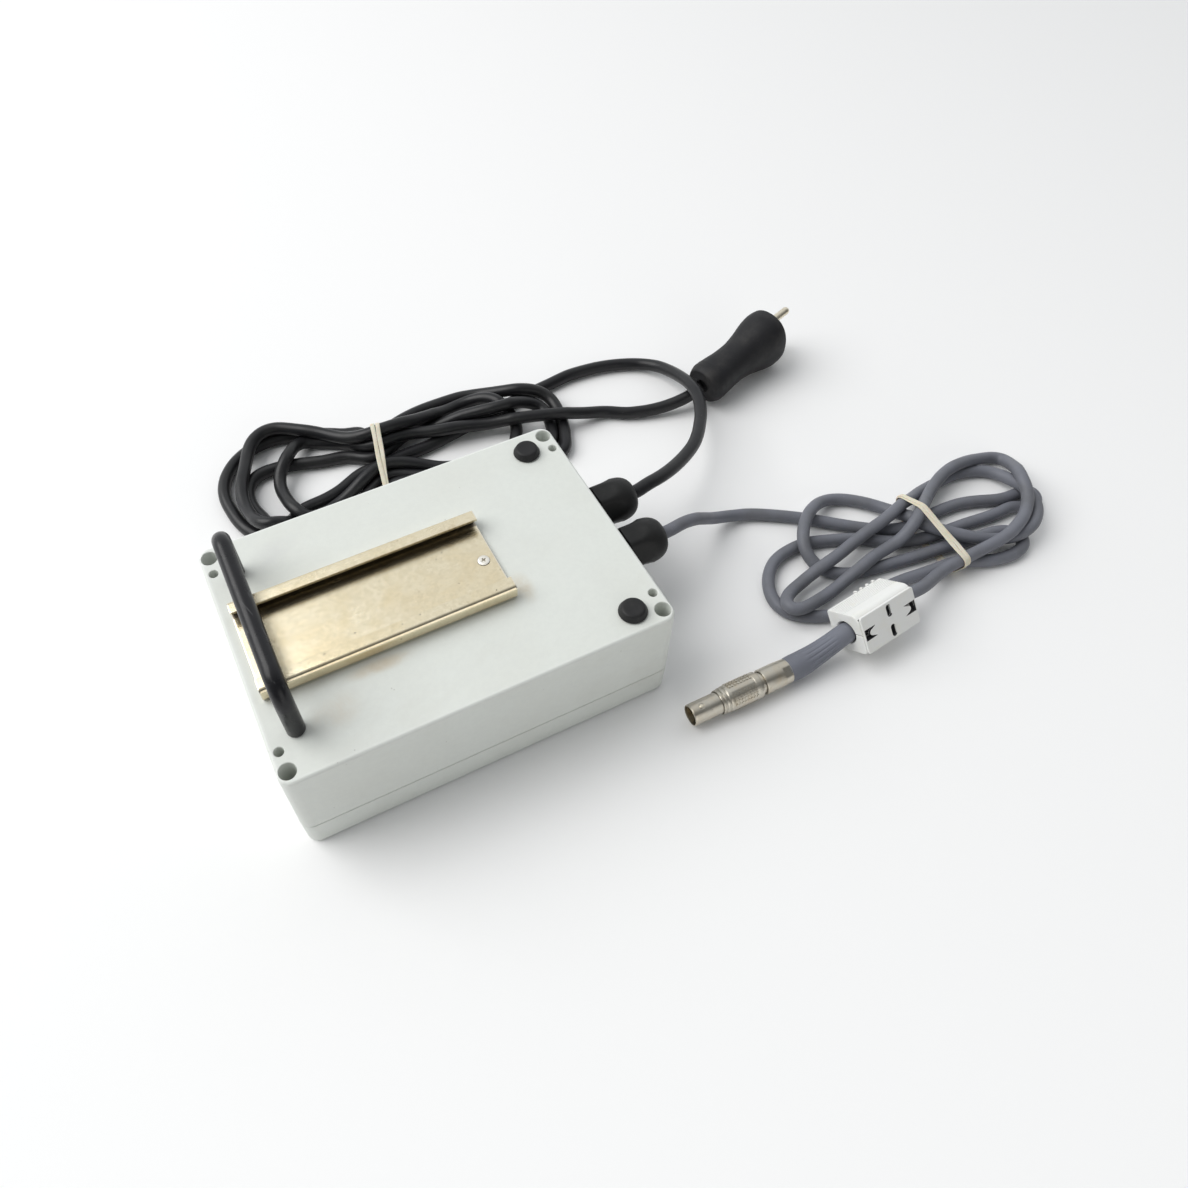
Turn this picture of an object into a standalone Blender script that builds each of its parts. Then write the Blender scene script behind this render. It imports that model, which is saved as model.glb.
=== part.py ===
"""Survey data collector: a sealed plastic enclosure lying on its lid, with a
C-section mounting rail, a bar handle and two rubber feet on its base, a mains
lead with a two-pin plug and a data lead with a clamp-on ferrite and a round
push-pull connector.

Frame: metres, +Z up, z = 0 is the lid's outer face (the surface it lies on),
the origin is that face's centre, +X points to the wall with the cable glands.
"""
import math
import bpy
import bmesh
from mathutils import Matrix, Vector

MM = 0.001
GAP = 0.3            # clearance between touching pieces

# ---- driving dimensions, in millimetres -------------------------------------
BOX_X, BOX_Y, BOX_H = 181.6, 131.0, 61.0      # enclosure, length, width, height
LID_H = 17.5                                  # height of the lid part
WALL = 3.2
TOWER_X, TOWER_Y = 80.6, 44.0                 # inner sides of the corner towers
CORE_HOLE = (85.7, 58.8, 3.7, 23.0)           # x, y, radius, depth: blind holes in the base
FIX_HOLE = (86.2, 49.2, 2.1)                  # x, y, radius: wall-fixing holes, right through
LID_SCREW = (84.4, 57.2)
RAIL_L, RAIL_W, RAIL_H, RAIL_T, RAIL_LIP = 116.5, 50.0, 8.0, 1.5, 6.8
RAIL_X0 = -85.0
RAIL_SCREWS = ((26.0, -0.4), (-79.4, -0.4))
HANDLE_X, HANDLE_Y, HANDLE_PITCH, HANDLE_R, HANDLE_TOP = -76.8, 1.0, 87.6, 4.0, 96.0
FEET = ((73.1, -54.2), (73.1, 51.8))
GLAND_Y = (23.2, -6.3)
GLAND_Z = 36.0
MAINS_D, DATA_D = 7.2, 6.6
FERRITE_C = Vector((196.0, -83.5, 14.5))
FERRITE_L, FERRITE_HALF = 35.4, 10.5
FERRITE_TURN, FERRITE_ROLL = math.radians(7), math.radians(-39)
CONN_Y, CONN_Z = -87.6, 7.2
PLUG_A, PLUG_B = Vector((209.5, 95.0, 12.3)), Vector((266.5, 110.6, 18.5))

for o in list(bpy.data.objects):
    bpy.data.objects.remove(o, do_unlink=True)
COL = bpy.context.scene.collection


# ---- materials --------------------------------------------------------------
def material(name, rgb, rough, metal=0.0):
    m = bpy.data.materials.new(name)
    m.use_nodes = True
    b = m.node_tree.nodes["Principled BSDF"]
    b.inputs["Base Color"].default_value = (*rgb, 1)
    b.inputs["Roughness"].default_value = rough
    b.inputs["Metallic"].default_value = metal
    return m


CASE = material("case_plastic", (0.66, 0.70, 0.67), 0.5)
ZINC = material("passivated_zinc", (0.72, 0.62, 0.40), 0.35, 1.0)
STEEL = material("bright_steel", (0.60, 0.60, 0.58), 0.3, 1.0)
BRASS = material("brass", (0.72, 0.55, 0.25), 0.35, 1.0)
BLACK_BAR = material("black_coating", (0.02, 0.02, 0.022), 0.35)
BLACK_RUBBER = material("black_rubber", (0.02, 0.02, 0.02), 0.65)
BLACK_NYLON = material("black_nylon", (0.018, 0.018, 0.018), 0.5)
BLACK_PVC = material("black_cord", (0.02, 0.02, 0.022), 0.4)
GREY_PVC = material("grey_cord", (0.16, 0.16, 0.19), 0.5)
BAND = material("band_rubber", (0.62, 0.54, 0.36), 0.7)
WHITE = material("white_plastic", (0.72, 0.72, 0.70), 0.5)
FERRITE = material("ferrite_core", (0.05, 0.05, 0.055), 0.6)
NICKEL = material("satin_nickel", (0.50, 0.47, 0.40), 0.3, 1.0)
PEEK = material("contact_insert", (0.10, 0.08, 0.06), 0.5)
BOARD = material("circuit_board", (0.03, 0.16, 0.06), 0.45)
GREEN = material("terminal_green", (0.05, 0.30, 0.10), 0.5)
DARK = material("component_black", (0.03, 0.03, 0.03), 0.5)
GASKET = material("grey_gasket", (0.10, 0.10, 0.10), 0.8)


# ---- mesh helpers (all sizes in millimetres) --------------------------------
def new_object(name, bm, mat, matrix=None, smooth=30.0, cutter=False):
    bmesh.ops.remove_doubles(bm, verts=bm.verts, dist=1e-7)
    bmesh.ops.recalc_face_normals(bm, faces=bm.faces)
    me = bpy.data.meshes.new(name)
    bm.to_mesh(me)
    bm.free()
    if smooth:
        me.shade_smooth()
        me.set_sharp_from_angle(angle=math.radians(smooth))
    ob = bpy.data.objects.new(name, me)
    COL.objects.link(ob)
    if mat:
        me.materials.append(mat)
    if matrix is not None:
        ob.matrix_world = matrix
    if cutter:
        ob.hide_render = True
        ob.display_type = "WIRE"
    return ob


def loft(bm, rings, closed=False):
    """Skin a list of equal-length rings of points; open lofts get flat caps."""
    vs = [[bm.verts.new(Vector(p) * MM) for p in ring] for ring in rings]
    n = len(vs[0])
    pairs = list(zip(vs, vs[1:])) + ([(vs[-1], vs[0])] if closed else [])
    for a, b in pairs:
        for i in range(n):
            j = (i + 1) % n
            bm.faces.new((a[i], a[j], b[j], b[i]))
    if not closed:
        bm.faces.new(list(reversed(vs[0])))
        bm.faces.new(vs[-1])
    return bm


def rounded(hx, hy, r, steps=4):
    """Outline of a rectangle of half sizes hx, hy with corner radius r."""
    pts = []
    for cx, cy, a0 in ((hx - r, hy - r, 0), (-hx + r, hy - r, 90),
                       (-hx + r, -hy + r, 180), (hx - r, -hy + r, 270)):
        for k in range(steps + 1):
            a = math.radians(a0 + 90 * k / steps)
            pts.append((cx + r * math.cos(a), cy + r * math.sin(a)))
    return pts


def circle(r, n, rx=None):
    return [(r * math.cos(2 * math.pi * k / n), (rx or r) * math.sin(2 * math.pi * k / n))
            for k in range(n)]


def prism(name, outline, z0, z1, mat, **kw):
    return new_object(name, loft(bmesh.new(), [[(x, y, z) for x, y in outline] for z in (z0, z1)]),
                      mat, **kw)


def turned(bm, profile, n=24, axis="Z", origin=(0, 0, 0), ring=False):
    """Solid of revolution from (position, radius) pairs along an axis.  With
    ring=True the profile is a closed loop and the solid has a bore."""
    o = Vector(origin)
    rings = []
    for t, r in profile:
        pts = []
        for k in range(n):
            a = 2 * math.pi * k / n
            c, s = r * math.cos(a), r * math.sin(a)
            pts.append(o + Vector({"Z": (c, s, t), "X": (t, c, s)}[axis]))
        rings.append(pts)
    return loft(bm, rings, closed=ring)


def lathe(name, profile, mat, n=24, axis="Z", origin=(0, 0, 0), ring=False, **kw):
    return new_object(name, turned(bmesh.new(), profile, n, axis, origin, ring), mat, **kw)


def hexagon(af, turn=0.0):
    r = af / math.sqrt(3)
    return [(r * math.cos(turn + math.pi / 3 * k), r * math.sin(turn + math.pi / 3 * k))
            for k in range(6)]


def cut(ob, *tools):
    for t in tools:
        m = ob.modifiers.new("cut_" + t.name, "BOOLEAN")
        m.operation, m.object, m.solver = "DIFFERENCE", t, "EXACT"


def join(ob, *tools):
    for t in tools:
        m = ob.modifiers.new("join_" + t.name, "BOOLEAN")
        m.operation, m.object, m.solver = "UNION", t, "EXACT"


def pipe_cut(name, x, y, z0, z1, r, n=20):
    return lathe(name, [(z0, r), (z1, r)], None, n=n, origin=(x, y, 0), cutter=True)


def block(name, lo, hi, mat, bevel=0.0, **kw):
    bm = bmesh.new()
    loft(bm, [[(lo[0], lo[1], z), (hi[0], lo[1], z), (hi[0], hi[1], z), (lo[0], hi[1], z)]
              for z in (lo[2], hi[2])])
    ob = new_object(name, bm, mat, **kw)
    if bevel:
        m = ob.modifiers.new("edges", "BEVEL")
        m.width, m.segments = bevel * MM, 2
    return ob


def smooth_curve(points, step, closed=False):
    """Points about `step` apart on a Catmull-Rom curve through the given ones."""
    P = [Vector(p) for p in points]
    n = len(P)
    fine = []
    spans = n if closed else n - 1
    for i in range(spans):
        p1, p2 = P[i % n], P[(i + 1) % n]
        p0 = P[(i - 1) % n] if closed or i > 0 else p1 * 2 - p2
        p3 = P[(i + 2) % n] if closed or i + 2 < n else p2 * 2 - p1
        t1 = (p1 - p0).length ** 0.5
        t2 = t1 + (p2 - p1).length ** 0.5
        t3 = t2 + (p3 - p2).length ** 0.5
        for k in range(24):
            t = t1 + (t2 - t1) * k / 24
            a1 = p0 * ((t1 - t) / t1) + p1 * (t / t1)
            a2 = p1 * ((t2 - t) / (t2 - t1)) + p2 * ((t - t1) / (t2 - t1))
            a3 = p2 * ((t3 - t) / (t3 - t2)) + p3 * ((t - t2) / (t3 - t2))
            b1 = a1 * ((t2 - t) / t2) + a2 * (t / t2)
            b2 = a2 * ((t3 - t) / (t3 - t1)) + a3 * ((t - t1) / (t3 - t1))
            fine.append(b1 * ((t2 - t) / (t2 - t1)) + b2 * ((t - t1) / (t2 - t1)))
    fine.append(P[0].copy() if closed else P[-1].copy())
    along = [0.0]
    for a, b in zip(fine, fine[1:]):
        along.append(along[-1] + (b - a).length)
    m = max(2, round(along[-1] / step))
    out, j = [], 0
    for k in range(m if closed else m + 1):
        d = along[-1] * k / m
        while j < len(along) - 2 and along[j + 1] < d:
            j += 1
        f = (d - along[j]) / max(along[j + 1] - along[j], 1e-9)
        out.append(fine[j].lerp(fine[j + 1], min(max(f, 0), 1)))
    return out


def tube(name, route, diameter, mat, step=None, resolution=2, radii=None):
    """A cord: a poly spline along a smooth curve through its route."""
    pts = smooth_curve(route, step or diameter * 2.4)
    cu = bpy.data.curves.new(name, "CURVE")
    cu.dimensions = "3D"
    cu.bevel_depth = diameter / 2 * MM
    cu.bevel_resolution = resolution
    cu.use_fill_caps = True
    cu.twist_mode = "MINIMUM"
    sp = cu.splines.new("POLY")
    sp.points.add(len(pts) - 1)
    for k, p in enumerate(pts):
        sp.points[k].co = (*(p * MM), 1)
        if radii:
            f = k / (len(pts) - 1) * (len(radii) - 1)
            i = min(int(f), len(radii) - 2)
            sp.points[k].radius = (radii[i] + (radii[i + 1] - radii[i]) * (f - i)) / (diameter / 2)
    ob = bpy.data.objects.new(name, cu)
    COL.objects.link(ob)
    cu.materials.append(mat)
    return ob


# ---- enclosure --------------------------------------------------------------
HX, HY = BOX_X / 2, BOX_Y / 2
ZS = LID_H + GAP                       # the base starts just above the lid
CAV_X, CAV_Y = HX - WALL, HY - WALL


def cross(inset=0.0):
    """The cavity's plan: a rectangle whose corners are the screw towers."""
    x1, y1, x0, y0 = CAV_X - inset, CAV_Y - inset, TOWER_X - inset, TOWER_Y - inset
    return [(x1, -y0), (x1, y0), (x0, y0), (x0, y1), (-x0, y1), (-x0, y0),
            (-x1, y0), (-x1, -y0), (-x0, -y0), (-x0, -y1), (x0, -y1), (x0, -y0)]


rings = []
for z, inset in ((ZS, 0.0), (BOX_H - 0.9, 0.5), (BOX_H - 0.35, 0.65), (BOX_H, 1.15)):
    rings.append([(x, y, z) for x, y in rounded(HX - inset, HY - inset, 6.0 - inset)])
base = new_object("base_shell", loft(bmesh.new(), rings), CASE)
tools = [prism("cut_base_cavity", cross(), ZS - 2, BOX_H - WALL, None, cutter=True)]
for sx in (1, -1):
    for sy in (1, -1):
        tag = f"{'r' if sx > 0 else 'l'}{'b' if sy > 0 else 'f'}"
        x, y, r, d = CORE_HOLE
        tools.append(pipe_cut("cut_core_" + tag, sx * x, sy * y, BOX_H - d, BOX_H + 2, r, 20))
        x, y, r = FIX_HOLE
        tools.append(pipe_cut("cut_fix_" + tag, sx * x, sy * y, ZS - 2, BOX_H + 2, r, 14))
        tools.append(pipe_cut("cut_insert_" + tag, sx * LID_SCREW[0], sy * LID_SCREW[1],
                              ZS - 2, ZS + 11.2, 3.3, 14))
for y, tag in zip(GLAND_Y, ("mains", "data")):
    tools.append(lathe("cut_gland_" + tag, [(CAV_X - 3, 8.4), (HX + 3, 8.4)], None, n=24,
                       axis="X", origin=(0, y, GLAND_Z), cutter=True))
for sy, tag in ((-1, "front"), (1, "rear")):
    tools.append(pipe_cut("cut_handle_" + tag, HANDLE_X, HANDLE_Y + sy * HANDLE_PITCH / 2,
                          BOX_H - 6, BOX_H + 2, 2.4, 14))
for k, (x, y) in enumerate(RAIL_SCREWS):
    tools.append(pipe_cut(f"cut_rail_{k + 1}", x, y, BOX_H - 6, BOX_H + 2, 1.8, 14))
cut(base, *tools)
BOSSES = ((60.0, 41.0), (-60.0, 41.0), (60.0, -41.0), (-60.0, -41.0))
BOARD_Z = 43.6                          # top face of the board as it lies
bosses = [lathe(f"boss_{k + 1}", [(BOARD_Z + GAP, 3.6), (BOX_H - WALL / 2, 3.6)], None, n=16,
                origin=(x, y, 0), cutter=True) for k, (x, y) in enumerate(BOSSES)]
join(base, *bosses)
cut(base, *[pipe_cut(f"cut_boss_{k + 1}", x, y, BOARD_Z - 2, BOARD_Z + 9, 1.5, 12)
            for k, (x, y) in enumerate(BOSSES[:2])])

rings = []
for z, inset in ((0.0, 2.3), (0.5, 1.2), (1.4, 0.5), (3.0, 0.25), (LID_H, 0.0)):
    rings.append([(x, y, z) for x, y in rounded(HX - inset, HY - inset, 6.0 - inset)])
lid = new_object("lid", loft(bmesh.new(), rings), CASE)
tools = [prism("cut_lid_cavity", cross(), WALL, LID_H + 2, None, cutter=True)]
for sx in (1, -1):
    for sy in (1, -1):
        tag = f"{'r' if sx > 0 else 'l'}{'b' if sy > 0 else 'f'}"
        x, y, r = FIX_HOLE
        tools.append(pipe_cut("cut_lidfix_" + tag, sx * x, sy * y, -2, LID_H + 2, r, 14))
        x, y = LID_SCREW
        tools.append(lathe("cut_lidscrew_" + tag, [(-2, 4.0), (10.2, 4.0), (10.2, 2.3), (LID_H + 2, 2.3)],
                           None, n=16, origin=(sx * x, sy * y, 0), cutter=True))
cut(lid, *tools)

# gasket: a strip that bridges the seam all round inside the walls
bm = bmesh.new()
outer, inner = cross(GAP), cross(GAP + 1.6)
loft(bm, [[(x, y, 15.4) for x, y in outer], [(x, y, 19.4) for x, y in outer],
          [(x, y, 19.4) for x, y in inner], [(x, y, 15.4) for x, y in inner]], closed=True)
new_object("lid_gasket", bm, GASKET, smooth=0)


def cross_recess(name, x, y, z, depth, arm, turn=0.0, up=1):
    """A cross-shaped driver recess, as a cutter."""
    w = arm * 0.28
    pts = [(arm, -w), (arm, w), (w, w), (w, arm), (-w, arm), (-w, w), (-arm, w), (-arm, -w),
           (-w, -w), (-w, -arm), (w, -arm), (w, -w)]
    c, s = math.cos(turn), math.sin(turn)
    z0, z1 = (z - depth, z + 1) if up > 0 else (z - 1, z + depth)
    return prism(name, [(x + c * a - s * b, y + s * a + c * b) for a, b in pts], z0, z1, None,
                 cutter=True)


k = 0
for sx in (1, -1):
    for sy in (1, -1):
        k += 1
        x, y = sx * LID_SCREW[0], sy * LID_SCREW[1]
        s = lathe(f"lid_screw_{k}", [(6.6, 3.3), (7.2, 3.6), (9.9, 3.6), (9.9, 1.9), (26.0, 1.9), (27.0, 1.4)],
                  STEEL, n=16, origin=(x, y, 0))
        cut(s, cross_recess(f"cut_lid_screw_{k}", x, y, 6.6, 1.8, 2.0, up=-1))
        lathe(f"lid_insert_{k}", [(ZS + 0.4, 3.0), (ZS + 10.2, 3.0), (ZS + 10.2, 2.2), (ZS + 0.4, 2.2)],
              BRASS, n=16, origin=(x, y, 0), ring=True)

# ---- mounting rail: a channel with its lips turned inwards ------------------
RZ = BOX_H + GAP


def rail_profile(t=RAIL_T, w=RAIL_W / 2, h=RAIL_H, lip=RAIL_LIP, ro=2.2, n=4):
    """Section in the Y-Z plane, floor at z = 0."""
    ri = ro - t

    def arc(cy, cz, r, a0, a1):
        return [(cy + r * math.cos(math.radians(a0 + (a1 - a0) * k / n)),
                 cz + r * math.sin(math.radians(a0 + (a1 - a0) * k / n))) for k in range(n + 1)]
    right_out = arc(w - ro, ro, ro, -90, 0) + arc(w - ro, h - ro, ro, 0, 90)
    right_in = arc(w - ro, h - ro, ri, 90, 0) + arc(w - ro, ro, ri, 0, -90)
    half = right_out + [(w - lip, h), (w - lip, h - t)] + right_in
    left = [(-y, z) for y, z in reversed(half)]
    return half + left


bm = bmesh.new()
loft(bm, [[(x, y, z + RZ) for y, z in rail_profile()] for x in (RAIL_X0, RAIL_X0 + RAIL_L)])
rail = new_object("mounting_rail", bm, ZINC)
cut(rail, *[lathe(f"cut_rail_hole_{k + 1}", [(RZ - 1, 1.8), (RZ + 0.2, 1.8), (RZ + RAIL_T + 0.3, 3.3), (RZ + 3, 3.3)],
                  None, n=16, origin=(x, y, 0), cutter=True) for k, (x, y) in enumerate(RAIL_SCREWS)])
for k, (x, y) in enumerate(RAIL_SCREWS):
    zt = RZ + RAIL_T
    s = lathe(f"rail_screw_{k + 1}", [(50.0, 1.0), (50.6, 1.45), (RZ + 0.35, 1.45), (zt - 0.05, 2.75), (zt + 0.25, 2.75),
                                      (zt + 0.45, 2.2)], STEEL, n=16, origin=(x, y, 0))
    cut(s, cross_recess(f"cut_rail_screw_{k + 1}", x, y, zt + 0.45, 1.2, 1.35, turn=0.35))
    lathe(f"rail_nut_{k + 1}", [(54.6, 3.2), (57.4, 3.2), (57.4, 2.05), (54.6, 2.05)], STEEL, n=6,
          origin=(x, y, 0), ring=True, smooth=0)

# ---- handle: one round bar bent square over the rail ------------------------
HR, HB, HY2 = HANDLE_R, 11.0, HANDLE_PITCH / 2
zc = HANDLE_TOP - HR
path = [(HANDLE_X, HANDLE_Y - HY2, BOX_H + GAP)]
for k in range(7):
    a = math.radians(15 * k)
    path.append((HANDLE_X, HANDLE_Y - HY2 + HB * (1 - math.cos(a)), zc - HB + HB * math.sin(a)))
path += [(x, 2 * HANDLE_Y - y, z) for x, y, z in reversed(path)]
rings = []
for i, p in enumerate(path):
    a, b = Vector(path[max(i - 1, 0)]), Vector(path[min(i + 1, len(path) - 1)])
    d = (b - a).normalized()
    side = Vector((1, 0, 0))
    up = side.cross(d)
    rings.append([Vector(p) + side * (HR * math.cos(2 * math.pi * k / 16)) + up * (HR * math.sin(2 * math.pi * k / 16))
                  for k in range(16)])
handle = new_object("carry_handle", loft(bmesh.new(), rings), BLACK_BAR)
cut(handle, *[pipe_cut(f"cut_handle_thread_{t}", HANDLE_X, HANDLE_Y + s * HY2, BOX_H - 1, BOX_H + 15, 2.3, 12)
              for t, s in (("front", -1), ("rear", 1))])
for k, s in enumerate((-1, 1)):
    x, y = HANDLE_X, HANDLE_Y + s * HY2
    sc = lathe(f"handle_screw_{k + 1}", [(53.6, 2.9), (54.2, 3.5), (57.3, 3.5), (57.3, 1.95), (73.5, 1.95), (74.3, 1.5)],
               STEEL, n=16, origin=(x, y, 0))
    cut(sc, cross_recess(f"cut_handle_screw_{k + 1}", x, y, 53.6, 2.0, 2.2, up=-1))

# ---- feet -------------------------------------------------------------------
for k, (x, y) in enumerate(FEET):
    z = BOX_H + GAP
    lathe(f"rubber_foot_{k + 1}", [(z, 6.5), (z + 0.6, 6.6), (z + 2.6, 5.6), (z + 3.3, 4.9), (z + 3.6, 4.0)],
          BLACK_RUBBER, n=24, origin=(x, y, 0))

# ---- cable glands on the +X wall --------------------------------------------
for tag, y, d in (("mains", GLAND_Y[0], MAINS_D), ("data", GLAND_Y[1], DATA_D)):
    o = (0, y, GLAND_Z)
    bore = 4.1
    body = lathe(f"{tag}_gland_body", [(80.2, bore), (80.2, 8.0), (HX + 0.2, 8.0), (HX + 0.2, 10.4), (HX + 1.0, 11.2),
                                       (HX + 5.2, 11.2), (HX + 6.0, 10.4), (HX + 6.0, 8.6), (105.0, 8.6), (105.0, bore)],
                 BLACK_NYLON, n=24, axis="X", origin=o, ring=True)
    lathe(f"{tag}_gland_cap", [(HX + 6.4, 9.1), (HX + 6.4, 11.2), (HX + 7.4, 11.6), (110.5, 11.4), (114.5, 10.6),
                               (117.2, 9.0), (118.6, 6.9), (118.9, 4.4), (115.4, 4.4), (112.4, 7.6), (106.6, 7.9), (106.2, 9.1)],
          BLACK_NYLON, n=24, axis="X", origin=o, ring=True)
    lathe(f"{tag}_gland_seal", [(105.4, d / 2 + GAP), (105.4, 7.4), (111.4, 7.3), (114.0, 4.9), (114.0, d / 2 + GAP)],
          BLACK_RUBBER, n=20, axis="X", origin=o, ring=True)
    lathe(f"{tag}_gland_locknut", [(81.8, 9.6), (81.8, 12.6), (87.1, 12.6), (87.1, 9.6)], BLACK_NYLON, n=6, axis="X",
          origin=o, ring=True, smooth=0)

# ---- mains lead -------------------------------------------------------------
# From the gland it sinks to the surface in one wide bow, passing over its own
# plug end, and runs into the hank behind the enclosure.
MAINS_LEAD = [(117.6, 23.2, 36), (123, 24.0, 36), (130, 25.8, 35.6), (138.5, 28.2, 34), (147, 31.6, 32),
              (155, 35.5, 30), (163.5, 40.6, 28), (171.5, 46.3, 26.2), (178.5, 53, 24.6), (184, 59.5, 23.3),
              (188.8, 65.8, 22.2), (192.8, 72.3, 21.4), (196.6, 80, 20.6), (199, 88, 19.7), (200.6, 97, 17.4),
              (201.4, 107.5, 13.5), (200.9, 118, 9.7), (198.4, 128, 6.4), (192, 136, 4.3), (183.5, 141, 3.8),
              (170, 145.5, 3.8), (158, 147.4, 3.8), (146, 148, 3.8), (134.5, 147, 3.8)]
PLUG_RUN = [(133, 114.2, 6.2), (141, 111.7, 4.5), (150, 108.6, 3.8), (159, 105, 3.8), (168, 101.5, 3.8),
            (176, 98.8, 4.2), (184, 96.6, 5.3), (192, 95, 7.0), (200, 94.2, 9.2), (208.0, 94.9, 11.9)]
tube("mains_cord_lead", MAINS_LEAD, MAINS_D, BLACK_PVC)
tube("mains_cord_plug_run", PLUG_RUN, MAINS_D, BLACK_PVC)
tube("mains_inner_lead", [(116.4, GLAND_Y[0], GLAND_Z), (60.4, GLAND_Y[0], GLAND_Z)], MAINS_D - 0.2, BLACK_PVC, step=28)


def hank(name, outline, z0, z1, mat):
    """The outer shape of a hank: a closed smooth outline, drawn upwards with
    its top edge drawn in."""
    pts = smooth_curve([(x, y, 0) for x, y in outline], 9.0, closed=True)
    c = sum(pts, Vector()) / len(pts)
    rings = []
    for z, inset in ((z0, 1.5), (z0 + 1.5, 0.0), (z1 - 5.0, 0.0), (z1 - 1.5, 1.6), (z1, 5.0)):
        ring = []
        for i, p in enumerate(pts):
            d = (pts[(i + 1) % len(pts)] - pts[i - 1]).normalized()
            nrm = Vector((d.y, -d.x, 0))
            if nrm.dot(p - c) < 0:
                nrm = -nrm
            ring.append((p.x - nrm.x * inset, p.y - nrm.y * inset, z))
        rings.append(ring)
    return new_object(name, loft(bmesh.new(), rings), mat)


# the neck, where the rubber band holds the turns, is at x = 17
MAINS_HANK = [(-73, 148), (-66, 166), (-48, 180), (-20, 183.5), (2, 172), (17, 159), (45, 163), (78, 165),
              (108, 160), (127, 148), (132.3, 128), (129, 106), (116, 92), (88, 87), (50, 96), (17, 106),
              (-15, 96), (-45, 92), (-66, 106), (-74, 126)]
mains_hank = hank("mains_cord_hank", MAINS_HANK, 1.7, 23.0, BLACK_PVC)

# two-pin plug, lying with its pins one above the other
PLUG_U = (PLUG_B - PLUG_A).normalized()
PLUG_L = (PLUG_B - PLUG_A).length
PLUG_S = PLUG_U.cross(Vector((0, 0, 1))).normalized()      # sideways, horizontal
PLUG_V = PLUG_S.cross(PLUG_U)
PLUG_SECTIONS = ((0.0, 9.6, 9.4), (0.8, 11.2, 10.9), (4.0, 12.1, 11.7), (11.0, 11.9, 11.5), (20.0, 11.0, 11.2),
                 (29.0, 10.9, 11.9), (38.0, 12.3, 14.2), (46.0, 14.2, 16.8), (52.0, 14.9, 17.9), (56.4, 14.6, 17.6),
                 (58.6, 13.4, 16.4), (PLUG_L, 11.0, 14.0))


def plug_ring(t, b, a, n=24):
    c = PLUG_A + PLUG_U * t
    out = []
    for k in range(n):
        w = 2 * math.pi * k / n
        cs, sn = math.cos(w), math.sin(w)
        # a rounded oval: a little squarer than an ellipse
        e = 0.86
        out.append(c + PLUG_S * (b * math.copysign(abs(cs) ** e, cs)) + PLUG_V * (a * math.copysign(abs(sn) ** e, sn)))
    return out


plug = new_object("plug_body", loft(bmesh.new(), [plug_ring(*s) for s in PLUG_SECTIONS]), BLACK_RUBBER)
frame = Matrix((PLUG_S, PLUG_V, PLUG_U)).transposed().to_4x4()
for k, s in enumerate((1, -1)):
    c = PLUG_B + PLUG_V * (9.5 * s)
    m = Matrix.Translation(c * MM) @ frame
    lathe(f"plug_pin_{k + 1}", [(-7.7, 2.3), (13.6, 2.3), (14.6, 1.9), (15.0, 1.1)], NICKEL, n=16, matrix=m)
    lathe(f"cut_pin_{k + 1}", [(-8.0, 2.6), (3.0, 2.6)], None, n=16, matrix=m, cutter=True)
    cut(plug, bpy.data.objects[f"cut_pin_{k + 1}"])


def band(name, hank_obj, x, z0, z1, width, thick, mat):
    """A rubber band: a flat closed strap round a hank, following its section
    (the section that hank() gives it) at the place x along it."""
    ys = [v.co.y / MM for v in hank_obj.data.vertices if abs(v.co.x / MM - x) < 12]
    yc, hw = (max(ys) + min(ys)) / 2, (max(ys) - min(ys)) / 2
    half = [(hw - 1.5, z0), (hw, z0 + 1.5), (hw, z1 - 5.0), (hw - 1.6, z1 - 1.5), (hw - 5.0, z1)]
    sec = half + [(-y, z) for y, z in reversed(half)]

    def grown(d):
        out, n = [], len(sec)
        for i in range(n):
            p, q, r = Vector(sec[i - 1]), Vector(sec[i]), Vector(sec[(i + 1) % n])
            n1, n2 = (q - p).normalized(), (r - q).normalized()
            n1, n2 = Vector((n1.y, -n1.x)), Vector((n2.y, -n2.x))
            m = (n1 + n2).normalized()
            out.append(q + m * (d / max(m.dot(n1), 0.5)))
        return out
    bm = bmesh.new()
    rings = []
    for w, t in ((-width / 2, 0.45 + thick), (width / 2, 0.45 + thick), (width / 2, 0.45), (-width / 2, 0.45)):
        rings.append([(x + w, yc + y, z) for y, z in grown(t)])
    loft(bm, rings, closed=True)
    return new_object(name, bm, mat)


band("mains_band", mains_hank, 17.0, 1.7, 23.0, 4.5, 0.8, BAND)

# ---- data lead --------------------------------------------------------------
DATA_LEAD = [(117.6, -6.3, 36), (124, -6.0, 36), (133, -3.9, 34.2), (143, -0.6, 28.5), (151, 2.6, 21.5),
             (159, 5.2, 14.0), (167, 6.6, 7.8), (176, 6.2, 4.4), (185, 3.4, 3.6), (193.5, -0.5, 3.6)]
tube("data_cord_lead", DATA_LEAD, DATA_D, GREY_PVC)
tube("data_inner_lead", [(116.4, GLAND_Y[1], GLAND_Z), (60.4, GLAND_Y[1], GLAND_Z)], DATA_D - 0.2, GREY_PVC, step=28)
DATA_HANK = [(161.5, -44), (166, -32), (178, -25), (192, -18), (198, -9.5), (215, -6), (238, -14), (255, -23),
             (275, -21), (296, -17), (318, -18), (332, -31), (335.5, -50), (331, -68), (316, -80), (298, -88.5),
             (272, -86), (252, -81), (240, -73), (226, -62.6), (206, -61.4), (184, -61.6), (166, -58)]
data_hank = hank("data_cord_hank", DATA_HANK, 1.7, 22.0, GREY_PVC)
FU = Vector((math.cos(FERRITE_TURN), math.sin(FERRITE_TURN), 0))
right, left = FERRITE_C + FU * (FERRITE_L / 2), FERRITE_C - FU * (FERRITE_L / 2)
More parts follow.
